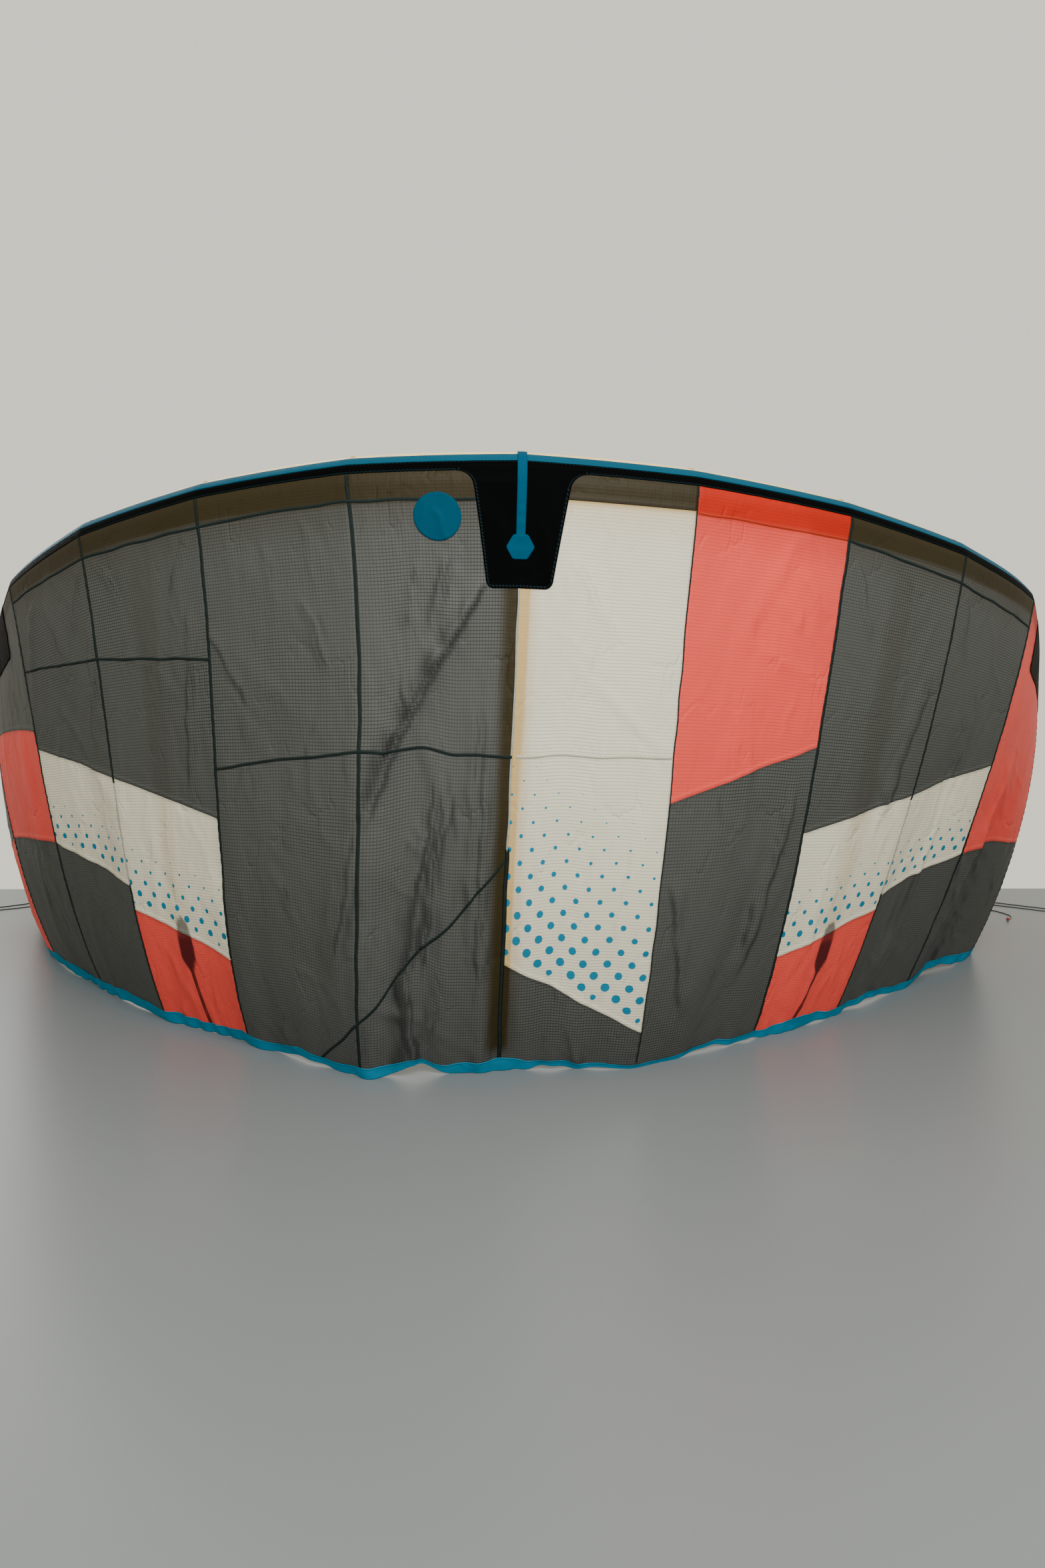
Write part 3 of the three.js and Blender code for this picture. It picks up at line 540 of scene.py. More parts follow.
def creases(station, down):
    """Creases that a crumpled ripstop keeps: in each gore a few dozen soft ridges, short ones and some
    long broad ones, nearly upright and strewn with a fixed seed. They fade at the seams, on the tube
    and at the edge, which ripples by some 3 mm instead."""
    total = np.zeros_like(station)
    for first in gore_starts:
        inside = (station >= first) & (station <= first + 1)
        if not inside.any():
            continue
        seed = np.random.default_rng(60 + first)
        count = 90
        x = (station[inside] - first)[:, None] * gore_width - seed.uniform(0, gore_width, count)
        y = down[inside][:, None] * chord_length - seed.uniform(0.02, 1.0, count) * chord_length
        slant = seed.normal(0, 0.24, count) + np.where(seed.uniform(size=count) < 0.12, 0.9, 0)
        length = seed.uniform(0.05, 0.22, count)
        width = seed.uniform(0.006, 0.016, count)
        height = seed.uniform(0.0008, 0.0028, count) * np.where(seed.uniform(size=count) < 0.6, 1, -1)
        broad = np.arange(count) < 14
        length = np.where(broad, length * 3, length)
        width = np.where(broad, width * 2.4, width)
        height = np.where(broad, height * 1.8, height)
        along = (y * np.cos(slant) + x * np.sin(slant)) / length
        across = (x * np.cos(slant) - y * np.sin(slant) + 0.004 * np.sin(9 * along)) / width
        ridge = height * np.exp(-(across**2)) * np.cos(np.clip(along, -1, 1) * np.pi / 2) ** 2
        share = station[inside] - first
        total[inside] = ridge.sum(1) * np.sin(np.pi * share) ** 0.4
    seam_distance = np.abs(station - np.round(station)) * gore_width
    pucker = np.sin(2 * np.pi * down * chord_length / 0.034 + 2 * np.sin(down * 23))
    total = total + 0.6 * mm * pucker * np.exp(-((seam_distance / 0.02) ** 2))
    fade = ramp(down / 0.05) * ramp((1.0 - down) / 0.02)
    above_edge = (1 - down) * chord_length
    ripple = np.sin(2 * np.pi * station * gore_width / 0.094 + 2.4 * np.sin(station * 2.9))
    ripple = ripple * (0.6 + 0.4 * np.sin(station * 4.3)) * np.exp(-((above_edge / 0.07) ** 2))
    return np.maximum(total * fade, -1.6 * mm) + 3.2 * mm * ripple


def painted_fold_shade(station, down):
    """Painted shade on folds and creases, 0 to 1, by how sharply they slope from left to right. It
    darkens the cloth's colour where a fold turns it to its edge, as shade would; in part it also
    stands for the sheer cloth doubled there."""
    step = 4 * mm / gore_width
    heights = [fold_height(station + side, down) + creases(station + side, down) for side in (-step, step)]
    slope = (heights[1] - heights[0]) / (2 * step * gore_width)
    return ramp((np.abs(slope) - 0.10) / 0.42) * (down > 0.02)


def inner_face(station, down):
    """Inner face of the cloth. On the tube it is a circle round it. Below, a cubic Hermite curve leaves
    the tube straight and ends at the ground, leaning over there by edge_lean."""
    shape = np.broadcast_shapes(np.shape(station), np.shape(down))
    station = np.broadcast_to(station, shape).astype(float)
    down = np.broadcast_to(down, shape).astype(float)
    on_tube = around_tube(station, wrap_lowest - wrap_row * down, tube_radius(station) + cloth_fit)
    share = np.clip(down, 0, 1)
    sway = along_seams([5], station, 0)[..., 0] * np.sin(np.pi * share)
    strayed = np.clip(station + sway, -last_station, last_station)
    outward, upward = tube_frame(station)[2:]
    lowest = np.full(shape, wrap_lowest)
    start = around_tube(strayed, lowest, tube_radius(strayed) + cloth_fit)
    end = np.concatenate([along_seams([3, 4], strayed, edge_corner),
                          (binding_sole + raised(strayed, lifts))[..., None]], axis=-1)
    end = end + raised(strayed, bends)[..., None] * outward
    chord = np.linalg.norm(end - start, axis=-1, keepdims=True)
    leaving = chord * (np.sin(wrap_lowest) * outward - np.cos(wrap_lowest) * upward)
    arriving = chord * (-np.sin(edge_lean) * outward - np.cos(edge_lean) * np.array([0, 0, 1.0]))
    hanging = hermite(share[..., None], start, leaving, end, arriving)
    hanging = hanging + fold_height(strayed, share)[..., None] * outward
    return np.where(down[..., None] <= 0, on_tube, hanging)


def cloth_normal(station, down):
    """Unit vector out of the cloth, from the slopes down and across its inner face."""
    step = 0.004
    right = inner_face(np.minimum(station + step, last_station), down)
    left = inner_face(np.maximum(station - step, -last_station), down)
    top = np.where(down <= 0, down - step, np.maximum(down - step, 0))
    bottom = np.where(down <= 0, down, np.minimum(down + step, 1))
    slope = inner_face(station, bottom) - inner_face(station, top)
    return unit(np.cross(slope, right - left))


def tape_turn(station):
    """How many steps of "down" the piping, the band and the cloth's upper edge turn down the tube: the
    further out, the more the kite's own weight has rolled the tube forward."""
    return 0.24 + 0.50 * ramp((np.abs(station) - 0.5) / 4.0)


def cloth(station, down, offset):
    """A point on the cloth, "offset" outside its inner face along the normal, with its creases."""
    station, down = np.broadcast_arrays(np.asarray(station, float), np.asarray(down, float))
    lifted = np.asarray(offset + creases(station, down))[..., None]
    return inner_face(station, down) + lifted * cloth_normal(station, down)


def hem_share(station, height):
    """Share of the way down at which the cloth is a given height above its own edge."""
    top = around_tube(station, np.full(np.shape(station), wrap_lowest), tube_radius(station))
    foot = along_seams([3, 4], station, edge_corner)
    foot = np.concatenate([foot, np.zeros((*np.shape(station), 1))], axis=-1)
    return 1 - height / (np.linalg.norm(foot - top, axis=-1) * np.cos(edge_lean))


# The panels of each gore from the tube down: colour, and the share of the way down at which the panel
# ends on the gore's left seam and on its right seam.
gore_panels = {
    "left_7": [("grey", 0.50, 0.58), ("white", 1, 1)],
    "left_6": [("grey", 0.62, 0.56), ("coral", 1, 1)],
    "left_5": [("grey", 0.24, 0.34), ("coral", 0.56, 0.60), ("grey", 1, 1)],
    "left_4": [("grey", 0.38, 0.46), ("white", 0.60, 0.68), ("grey", 1, 1)],
    "left_3": [("grey", 0.46, 0.54), ("white", 0.73, 0.81), ("coral", 1, 1)],
    "left_2": [("grey", 1, 1)],
    "left_1": [("grey", 1, 1)],
    "right_1": [("grey", 0.022, 0.022), ("white", 0.78, 0.92), ("grey", 1, 1)],
    "right_2": [("coral", 0.50, 0.40), ("grey", 1, 1)],
    "right_3": [("grey", 0.56, 0.48), ("white", 0.81, 0.73), ("coral", 1, 1)],
    "right_4": [("grey", 0.48, 0.40), ("white", 0.70, 0.62), ("grey", 1, 1)],
    "right_5": [("coral", 0.62, 0.56), ("grey", 1, 1)],
    "right_6": [("grey", 0.56, 0.62), ("coral", 1, 1)],
    "right_7": [("grey", 0.58, 0.50), ("white", 1, 1)],
}

# The grey, white and coral cloth is printed with rows of round blue dots.
print_hex = "0F7F9E"
dot_pitch = 72 * mm
dot_shift = 7 * mm  # keeps whole dots off the seams


def printed_dots(material, uv):
    """1 on a printed dot and 0 beside it. Dots stand in two square sets, each half a pitch from the
    other both ways, and the attribute "dot_size" gives their radius."""
    reach = []
    for shift in (0.0, dot_pitch / 2):
        sides = []
        for axis in ("X", "Y"):
            moved = add_node(material, "Math", {0: uv.outputs[axis], 1: shift + dot_shift})
            sides.append(add_node(material, "Math", {0: moved, 1: dot_pitch / 2}, operation="PINGPONG"))
        squares = add_node(material, "Math", {0: sides[0], 1: 2.0}, operation="POWER")
        other = add_node(material, "Math", {0: sides[1], 1: sides[1], 2: squares}, operation="MULTIPLY_ADD")
        reach.append(add_node(material, "Math", {0: other}, operation="SQRT"))
    near = add_node(material, "Math", {0: reach[0], 1: reach[1]}, operation="MINIMUM")
    size = add_node(material, "Attribute", {}, attribute_name="dot_size")
    inside = add_node(material, "Math", {0: size.outputs["Fac"], 1: near}, operation="SUBTRACT")
    return add_node(material, "MapRange", {"Value": inside, "From Min": 0.0, "From Max": 0.8 * mm})


def ripstop(name, colour, thread_colour, over_tube, over_cap, lengthwise, seam_tone, fold_shade_depth):
    """Thin coated ripstop nylon: a fine cloth with thicker threads woven in as a grid of 7 mm squares,
    drawn as 9 mm ones. It is a little sheer, so the cream tube and struts tint it where they touch,
    and light comes through from behind. "lengthwise" is how strongly the upright threads show, and
    "seam_tone" how bright the double cloth of a felled seam is next to the single cloth; a thin line of
    painted shadow darkens the edges of each felled seam. "fold_shade_depth" is how much painted shade
    darkens folds that slope sharply, standing in part for the sheer cloth doubled there."""
    material = new_material(name)
    place = add_node(material, "TexCoord", {})
    uv = add_node(material, "SeparateXYZ", {"Vector": place.outputs["UV"]})
    grid = []
    for axis, strength in (("Y", 1.0), ("X", lengthwise)):
        row = add_node(material, "Math", {0: uv.outputs[axis], 1: ripstop_square / 2}, operation="PINGPONG")
        grid.append(add_node(material, "MapRange",
            {"Value": row, "From Min": 0.5 * mm, "From Max": 2.1 * mm, "To Min": strength, "To Max": 0.0},
            interpolation_type="SMOOTHSTEP"))
    threads = add_node(material, "Math", {0: grid[0], 1: grid[1]}, operation="MAXIMUM")
    patchy = add_node(material, "TexNoise", {
        "Vector": place.outputs["Object"], "Scale": 3.0, "Detail": 5.0})
    shown = add_node(material, "MapRange", {
        "Value": patchy, "From Min": 0.35, "From Max": 0.65, "To Min": 0.55, "To Max": 1.0})
    mesh_share = add_node(material, "Math", {0: threads, 1: shown}, operation="MULTIPLY")
    kinds = ("tube_behind", "cap_behind", "webbing_beside", "doubled", "fold_shade")
    tube, cap, beside, doubled, fold_shade = (
        add_node(material, "Attribute", {}, attribute_name=kind).outputs["Fac"] for kind in kinds)
    on_webbing = add_node(material, "MapRange", {"Value": beside, "From Min": webbing_width / 2 - 1 * mm,
        "From Max": webbing_width / 2 + 1 * mm, "To Min": 0.9, "To Max": 0.0})
    between = add_node(material, "Math", {0: beside, 1: 2 * mm}, operation="LESS_THAN")
    on_webbing = add_node(material, "Math", {
        0: between, 1: -0.35, 2: on_webbing}, operation="MULTIPLY_ADD", use_clamp=True)
    tints = ((mesh_share, thread_colour), (tube, over_tube), (cap, over_cap), (on_webbing, over_cap),
             (printed_dots(material, uv), print_hex))
    tinted = linear(colour)
    for share, tint in tints:
        tinted = add_node(material, "Mix", {
            "Factor": share, "A": tinted, "B": linear(tint)}, data_type="RGBA")
    overlap = add_node(material, "MapRange", {"Value": doubled, "To Min": 1.0, "To Max": seam_tone})
    # Painted shadow: a thin dark line along both edges of each felled seam, where the cut edges lie.
    edge_shadow_line = add_node(material, "Math", {0: doubled, 1: 0.5, 2: 0.32}, operation="COMPARE")
    overlap = add_node(material, "Math", {0: edge_shadow_line, 1: -0.3, 2: overlap}, operation="MULTIPLY_ADD")
    tone = add_node(material, "MapRange", {
        "Value": patchy, "From Min": 0.3, "From Max": 0.7, "To Min": 0.93, "To Max": 1.07})
    tone = add_node(material, "Math", {0: tone, 1: overlap}, operation="MULTIPLY")
    # Painted shade: folds that slope sharply are darkened in colour.
    fold_shade_tone = add_node(material, "Math", {0: fold_shade, 1: -fold_shade_depth, 2: 1.0}, operation="MULTIPLY_ADD")
    tone = add_node(material, "Math", {0: tone, 1: fold_shade_tone}, operation="MULTIPLY")
    shade = add_node(material, "Mix", {
        "Factor": 1.0, "A": tinted, "B": tone}, data_type="RGBA", blend_type="MULTIPLY")
    stretch = add_node(material, "Mapping", {"Vector": place.outputs["UV"], "Scale": (1.0, 0.35, 1.0)})
    crumple = add_node(material, "TexNoise", {
        "Vector": stretch, "Scale": 34.0, "Detail": 4.0, "Distortion": 0.6})
    bent = add_node(material, "TexNoise", {"Vector": stretch, "Scale": 9.0, "Detail": 3.0})
    bent = add_node(material, "Mix", {
        "Factor": 0.16, "A": stretch, "B": bent.outputs["Color"]}, data_type="VECTOR")
    sharp = add_node(material, "TexVoronoi", {"Vector": bent, "Scale": 8.0}, feature="DISTANCE_TO_EDGE")
    line = add_node(material, "MapRange", {
        "Value": sharp, "From Max": 0.05, "To Min": 1.0, "To Max": 0.0}, interpolation_type="SMOOTHSTEP")
    some = add_node(material, "TexNoise", {"Vector": place.outputs["UV"], "Scale": 7.0, "Detail": 2.0})
    kept = add_node(material, "MapRange", {"Value": some, "From Min": 0.5, "From Max": 0.62})
    edge = add_node(material, "Math", {0: line, 1: kept}, operation="MULTIPLY")
    soft = add_node(material, "Bump", {"Height": crumple, "Strength": 0.5, "Distance": 4 * mm})
    crease = add_node(material, "Bump", {
        "Height": edge, "Strength": 0.5, "Distance": -3 * mm, "Normal": soft})
    bump = add_node(material, "Bump", {
        "Height": threads, "Strength": 0.3, "Distance": 0.6 * mm, "Normal": crease})
    shader = add_node(material, "BsdfPrincipled", {
        "Base Color": shade, "Roughness": 0.5, "Normal": bump, "Specular IOR Level": 0.16})
    glow = add_node(material, "BsdfTranslucent", {"Color": shade, "Normal": bump})
    both = add_node(material, "MixShader", {0: 0.22, 1: shader, 2: glow})
    add_node(material, "OutputMaterial", {"Surface": both})
    return material


# Ripstop nylon with a thin coating: sheer and nearly matt. Its grid of threads shows dark on the grey
# and hardly at all on the white and the coral. The last number is how deep the painted shade on folds
# is, deepest on the grey.
ripstops = {
    "grey": ripstop("ripstop_nylon_grey", grey_hex, "353632", "31280F", "1E1D19", 0.75, 0.8, 0.5),
    "white": ripstop("ripstop_nylon_white", white_hex, "C5C1B2", "CDAE73", "54534F", 0.12, 0.9, 0.12),
    "coral": ripstop("ripstop_nylon_coral", coral_hex, "DC4B41", "B41E04", "4A1216", 0.10, 0.86, 0.16),
}

# Struts behind the cloth: station, radius at the top and at the end, and the share of the way down at
# which each ends; and where the caps of the side ones end.
strut_stations = {"left": -2.5, "centre": 0.0, "right": 2.5}
strut_radii = {"left": (50 * mm, 36 * mm), "centre": (54 * mm, 40 * mm), "right": (50 * mm, 36 * mm)}
strut_ends = {"left": 0.75, "centre": 0.955, "right": 0.76}
cap_ends = {"left": 0.845, "right": 0.855}
webbing_slants = {"left": 0.05, "right": -0.13}  # stations that the webbing strays on its way down

# Printed dots rise from the lower cut of the white panels and shrink upwards: gore, place of the
# cut on its left and right seams, reach upwards and largest radius in metres.
dot_rows = {
    "left_4": (0.60, 0.68, 0.20, 0.014), "left_3": (0.73, 0.81, 0.26, 0.014),
    "right_1": (0.78, 0.92, 0.62, 0.015), "right_3": (0.81, 0.73, 0.24, 0.014),
    "right_4": (0.70, 0.62, 0.20, 0.014), "right_6": (0.56, 0.62, 0.22, 0.012),
}


def dot_size(name, share, down):
    """Radius of the printed dots in metres: largest just above the cut, it falls evenly to nothing at
    the end of the reach, and there are none below the cut."""
    at_left, at_right, reach, radius = dot_rows[name]
    above = (at_left + (at_right - at_left) * share - down) * chord_length
    size = radius * (1 - (above - 0.02) / reach)
    size = size * ramp((above - 0.016) / 0.03)
    return np.where((above > 0.016) & (size > 0), size, -2 * mm)


def backing(station, down):
    """How strongly cream tube or strut, and dark cap, lie behind the cloth: 1 where they touch it,
    fading as the round piece curves away. A strut shows as a strip 68 mm wide at its top and 40 mm
    wide at its foot, softer on the left."""
    cream = 0.95 * (1 - ramp((down - 0.022) / 0.014))
    cream = np.maximum(cream, 0.3 * (1 - ramp((down - 0.02) / 0.08)))
    dark = np.zeros_like(station)
    for side, middle in strut_stations.items():
        away = np.abs(station - middle) * gore_width
        strength = 0.97 if side == "centre" else 0.18
        sharp = 1 - ramp((away - (34 - 14 * down) * mm) / (8 * mm))
        sharp = np.maximum(sharp, 0.4 * (1 - ramp((away - 30 * mm) / (42 * mm))))
        soft = 1 - ramp((away - 22 * mm) / (44 * mm))
        on_strut = np.where(station < middle, soft, sharp) * ramp((strut_ends[side] + 0.02 - down) / 0.04)
        cream = np.maximum(cream, strength * on_strut)
        if side in cap_ends:
            begin = strut_ends[side] - 0.015
            along = (down - begin) / (cap_ends[side] + 0.01 - begin)
            half = 27 * mm + 9 * mm * ramp(along / 0.6) - 25 * mm * ramp((along - 0.7) / 0.3)
            half = half * np.sqrt(np.clip(1 - (np.clip(0.2 - along, 0, 0.2) / 0.2) ** 2, 0, 1))
            on_cap = ramp((half - away) / (7 * mm) + 0.5) * (along > 0) * ramp((1 - along) / 0.05)
            dark = np.maximum(dark, on_cap * (0.8 + 0.16 * ramp((along - 0.3) / 0.1)))
    return cream, dark


def webbing_middle(side, down):
    """Station of the webbing's middle, from the cap's end to the edge."""
    share = np.clip((down - cap_ends[side]) / (1 - cap_ends[side]), 0, 1)
    return strut_stations[side] + webbing_slants[side] * share


def beside_webbing(station, down):
    """Distance across from the middle of the webbing behind, in metres: a metre where there is none."""
    distance = np.ones_like(station)
    for side in cap_ends:
        away = np.abs(station - webbing_middle(side, down)) * gore_width
        distance = np.where((down > cap_ends[side]) & (away < 0.1), away, distance)
    return distance


def gore_grid(name, first):
    """Stations and shares down of a gore's grid, the panel of each row of quads, and how much of the
    felled seam each point has. Rows run evenly from one slanted cut to the next, with three close ones
    above each cut, where the two panels overlap, and one just below it."""
    station = np.linspace(first, first + 1, gore_columns)
    share = station - first
    middle = np.full(1, first + 0.5)
    length = float(np.linalg.norm(inner_face(middle, np.ones(1)) - inner_face(middle, np.zeros(1))))
    top = np.zeros_like(share)
    rows, band = [(cloth_top + tape_turn(station)) * np.linspace(1, 0, 13)[:, None]], [0] * 12
    doubled = [0.0] * 13
    panels = gore_panels[name]
    for number, (_, at_left, at_right) in enumerate(panels):
        last = number + 1 == len(panels)
        cut = at_left + (at_right - at_left) * share
        seam_rows = [0.0] if last else [-felled_width - 0.7 * mm, -felled_width, -0.4 * mm, 0.4 * mm]
        below = cut + seam_rows[0] / length
        count = max(2, round(float(np.mean(below - top)) * length / row_spacing))
        steps = np.linspace(0, 1, count + 1)[1:, None]
        rows.append(top + (below - top) * steps)
        rows += [(cut + row / length)[None] for row in seam_rows[1:]]
        band += [number] * (count + len(seam_rows[1:-1])) + [number + 1] * (not last)
        doubled += [0.0] * count + ([] if last else [1.0, 1.0, 0.0])
        top = cut + seam_rows[-1] / length
    down = np.vstack(rows)
    return np.broadcast_to(station, down.shape), down, band, np.array(doubled)[:, None] + 0 * down


gores = {}
for first in gore_starts:
    name = gore_name(first)
    station, down, band, doubled = gore_grid(name, first)
    points = cloth(station, down, cloth_thickness + 0.4 * mm * doubled)
    uv = np.stack([(station - first - 0.5) * gore_width, down * chord_length], axis=-1)
    uv[..., 1] = np.where(down < 0, down * wrap_length, uv[..., 1])
    colours = [colour for colour, _, _ in gore_panels[name]]
    gore = add_piece(f"gore_{name}", points, uv, [ripstops[colour] for colour in colours],
                     [f"canopy_gore_{name}"], band=band,
                     wall=0.8 * mm)
    # The ripstop's attributes: tints where tube, struts, caps and webbing lie behind the cloth, the felled
    # seams' double cloth, and painted shade on folds.
    cream, dark = backing(station, down)
    values = {"tube_behind": cream, "cap_behind": dark, "doubled": doubled,
              "webbing_beside": beside_webbing(station, down), "fold_shade": painted_fold_shade(station, down)}
    if name in dot_rows:
        values["dot_size"] = dot_size(name, station - first, down)
    for kind, value in values.items():
        gore.data.attributes.new(kind, "FLOAT", "POINT").data.foreach_set("value", value.ravel())
    gores[name] = gore

# ---------- seam tapes ----------
# Black woven tape, 9.5 mm wide, covers each radial seam from the leading edge to the hem and the few
# seams across the gores. Two rows of zigzag stitches hold it. The lower centre seam has a wider tape,
# and the seam right of the white panel only a narrow one.

tape_width = 9.5 * mm
tape_hex = "101614"
tape_stitch_hex = "33403E"
tape_lift = cloth_thickness + 0.6 * mm
tape_top = -1.22  # place down where the tapes begin, under the band, before its turn
tape_foot = 20 * mm  # height over the ground at which they end, under the binding


def zigzag(material, along, across, middle, pitch, reach, thread):
    """1 on a zigzag thread and 0 beside it: the thread runs from middle - reach to middle + reach
    across and back in one pitch along. Sizes are in metres on the piece's own UV map."""
    swing = add_node(material, "Math", {0: along, 1: pitch / 2}, operation="PINGPONG")
    line = add_node(material, "Math", {
        0: swing, 1: 4 * reach / pitch, 2: middle - reach}, operation="MULTIPLY_ADD")
    away = add_node(material, "Math", {0: across, 1: line}, operation="SUBTRACT")
    size = add_node(material, "Math", {0: away}, operation="ABSOLUTE")
    return add_node(material, "MapRange", {"Value": size, "From Min": 0.35 * thread,
        "From Max": 0.8 * thread, "To Min": 1.0, "To Max": 0.0}, interpolation_type="SMOOTHSTEP")


def stitched(name, colour, stitch_colour, seams, roughness, thread=1.2 * mm, pitch=9 * mm, swing=2 * mm,
             shine=0.04):
    """Heavy woven polyester with rows of zigzag stitches. "seams" are the rows' places across the
    piece in metres. The thread is drawn 1.0 to 1.2 mm thick, where the real one is 0.4 mm."""
    material = woven(name, colour, roughness, shine=shine)
    nodes, links = material.node_tree.nodes, material.node_tree.links
    shader = next(node for node in nodes if node.type == "BSDF_PRINCIPLED")
    place = add_node(material, "TexCoord", {})
    uv = add_node(material, "SeparateXYZ", {"Vector": place.outputs["UV"]})
    colour_now = shader.inputs["Base Color"].links[0].from_socket
    bump_now = shader.inputs["Normal"].links[0].from_socket
    for middle in seams:
        row = zigzag(material, uv.outputs["Y"], uv.outputs["X"], middle, pitch, swing, thread)
        colour_now = add_node(material, "Mix", {
            "Factor": row, "A": colour_now, "B": linear(stitch_colour)}, data_type="RGBA").outputs["Result"]
        bump_now = add_node(material, "Bump", {
            "Height": row, "Strength": 0.5, "Distance": 0.8 * mm, "Normal": bump_now}).outputs[0]
    links.new(colour_now, shader.inputs["Base Color"])
    links.new(bump_now, shader.inputs["Normal"])
    return material


# Woven polyester tape, dyed and uncoated: matt, so that little but the stitches shows on it.
tape_material = stitched("polyester_tape_black", tape_hex, tape_stitch_hex, [-2.2 * mm, 2.2 * mm], 0.62,
                         thread=1.0 * mm, pitch=8 * mm, swing=1.4 * mm)


def strip_along(station, down, width, offset, columns=3):
    """A strip of even width whose middle follows a line on the cloth, given as stations and shares
    down. Each point lies to the side of the line, square to it as measured on the cloth."""
    slope = unit(np.gradient(np.stack([station * gore_width, down * chord_length], axis=-1), axis=0))
    side = np.linspace(-0.5, 0.5, columns) * width
    stations = station[:, None] + side * slope[:, 1:2] / gore_width
    downs = down[:, None] - side * slope[:, 0:1] / chord_length
    points = cloth(np.clip(stations, -last_station, last_station), downs, offset)
    far = distance_along(points[:, columns // 2])
    return points, np.stack(np.meshgrid(far, side, indexing="ij")[::-1], axis=-1)


def line_between(places, spacing=6 * mm):
    """Stations and shares down along straight lines between places, a few millimetres apart."""
    places = np.array(places, float)
    far = distance_along(places * [gore_width, chord_length])
    steps = np.linspace(0, far[-1], max(2, int(far[-1] / spacing)) + 1)
    wander = 1.3 * mm / gore_width * np.sin(steps / 0.037 + 2 * np.sin(steps / 0.11))
    station = np.interp(steps, far, places[:, 0]) + wander
    return station, np.interp(steps, far, places[:, 1]) + wander * 0.3


def add_tape(name, places, material, width=tape_width, offset=tape_lift):
    """A flat tape on the cloth along straight lines between places."""
    points, uv = strip_along(*line_between(places), width, offset)
    return add_piece(name, points, uv, [material], [], wall=0.4 * mm)


# Over white panels the tape is pale and narrower: seam, and the shares down between which it lies.
pale_runs = {-3: (0.47, 0.675), 3: (0.49, 0.695)}
seam_widths = {0: 14 * mm, 1: 3.5 * mm}
centre_fold_end = 0.58
# The same tape in the colour of the cloth, with a single row of stitches.
pale_tape = stitched("polyester_tape_pale", "A9A79C", "86847A", [0.0], 0.6, thread=1.0 * mm, swing=1.2 * mm)

sewn_on = {name: [] for name in gores}
for seam in range(1 - last_station, last_station):
    hem = float(hem_share(np.array(float(seam)), tape_foot))
    top = float(tape_turn(seam)) + tape_top if seam else centre_fold_end
    name = seam_names[seam + last_station]
    width = seam_widths.get(seam, tape_width)
    begin, end = pale_runs.get(seam, (hem, hem))
    runs = [("", top, begin, width, tape_material, "reinforcement_black")]
    if seam in pale_runs:
        runs.append(("_pale", begin, end, 5 * mm, pale_tape, "ripstop_white"))
        runs.append(("_low", end, hem, width, tape_material, "reinforcement_black"))
    for part, high, low, wide, material, slot in runs:
        tape = add_tape(f"seam_tape_{name}{part}", [(seam, high), (seam, low)], material, wide)
        sewn_on[gore_name(seam)].append(tape)

# Above the dark tape the centre seam is a plain fold of pale matt binding, 5 mm wide.
pale_material = woven("polyester_fold_pale", "8C9694", 0.6)
fold = add_tape("centre_fold", [(0, 0.165), (0, 0.585)], pale_material, width=5 * mm)
sewn_on["left_1"].append(fold)

# Seams across the gores: their places from left to right.
cross_seams = {
    "leading_edge_left": [(-4.0, 0.032), (-2.05, 0.033), (-1.09, 0.024), (-0.26, 0.024)],
    "leading_edge_right": [(2.0, 0.027), (3.06, 0.046), (4.0, 0.06)],
    "middle": [(-2.0, 0.45), (-1.0, 0.42), (0.0, 0.43)],
    "wing_left": [(-4.0, 0.20), (-2.0, 0.26)],
    "slant": [(-0.02, 0.60), (-0.95, 0.87), (-1.36, 0.99)],
}
for name, places in cross_seams.items():
    gore = gore_name(int(np.floor(places[0][0] + 0.01)))
    tape = add_tape(f"cross_tape_{name}", places, tape_material, 8 * mm,
                    tape_lift + 0.5 * mm)
    sewn_on[gore].append(tape)

# The same seams go on over the coral and the white gore in tapes of their own colours, with a single
# row of stitches in a darker thread.
coral_tape = stitched("polyester_tape_coral", "A83422", "7E2014", [0.0], 0.6, swing=1.6 * mm)
white_tape = stitched("polyester_tape_white", "BFBCAC", "8E8C6E", [0.0], 0.6, pitch=12 * mm)
for name, gore, slot, material, places in (
        ("coral", "right_2", "ripstop_coral", coral_tape, [(1.01, 0.024), (1.99, 0.027)]),
        ("white", "right_1", "ripstop_white", white_tape, [(0.03, 0.43), (0.99, 0.425)])):
    sewn_on[gore].append(add_tape(f"cross_tape_{name}", places, material, width=7 * mm))

# ---------- leading-edge piping and band ----------
# Two flat tapes run along the tube from tip to tip: blue woven tape over the edge of the canopy, and a
# wider black band below it, both sewn down with zigzag stitches.

black_hex = "020303"
black_stitch_hex = "142B31"

# Woven polyester tapes: the blue one has a slight sheen, the black one swallows nearly all light.
piping_material = woven("polyester_piping_blue", "00485E", 0.5, shine=0.08)
band_material = stitched("polyester_band_black", black_hex, black_stitch_hex, [-12.5 * mm, 12.5 * mm], 0.5,
                         pitch=11 * mm, swing=2.2 * mm, shine=0.015)

# Places down of their upper and lower edges, before their turn.
piping_edges = (-2.78, -2.0)
band_edges = (-2.05, -1.18)


def tube_strip(first, last, edges, offset):
    """Strip along the tube between two places down. Its edges waver by a fraction of a millimetre."""
    from_down, to_down = edges
    station = np.linspace(first, last, 320)
    across = np.linspace(0, 1, 9)
    station, across = np.meshgrid(station, across, indexing="ij")
    waver = 0.010 * np.sin(station * 31) + 0.008 * np.sin(station * 53 + 1)
    down = from_down + (to_down - from_down) * across + waver * (across - 0.5) + tape_turn(station)
    points = cloth(station, down, offset)
    far = np.cumsum(np.linalg.norm(np.gradient(points[:, 4], axis=0), axis=1))
    wide = (across - 0.5) * (to_down - from_down) * wrap_length
    return points, np.stack([wide, far[:, None] + 0 * across], axis=-1)


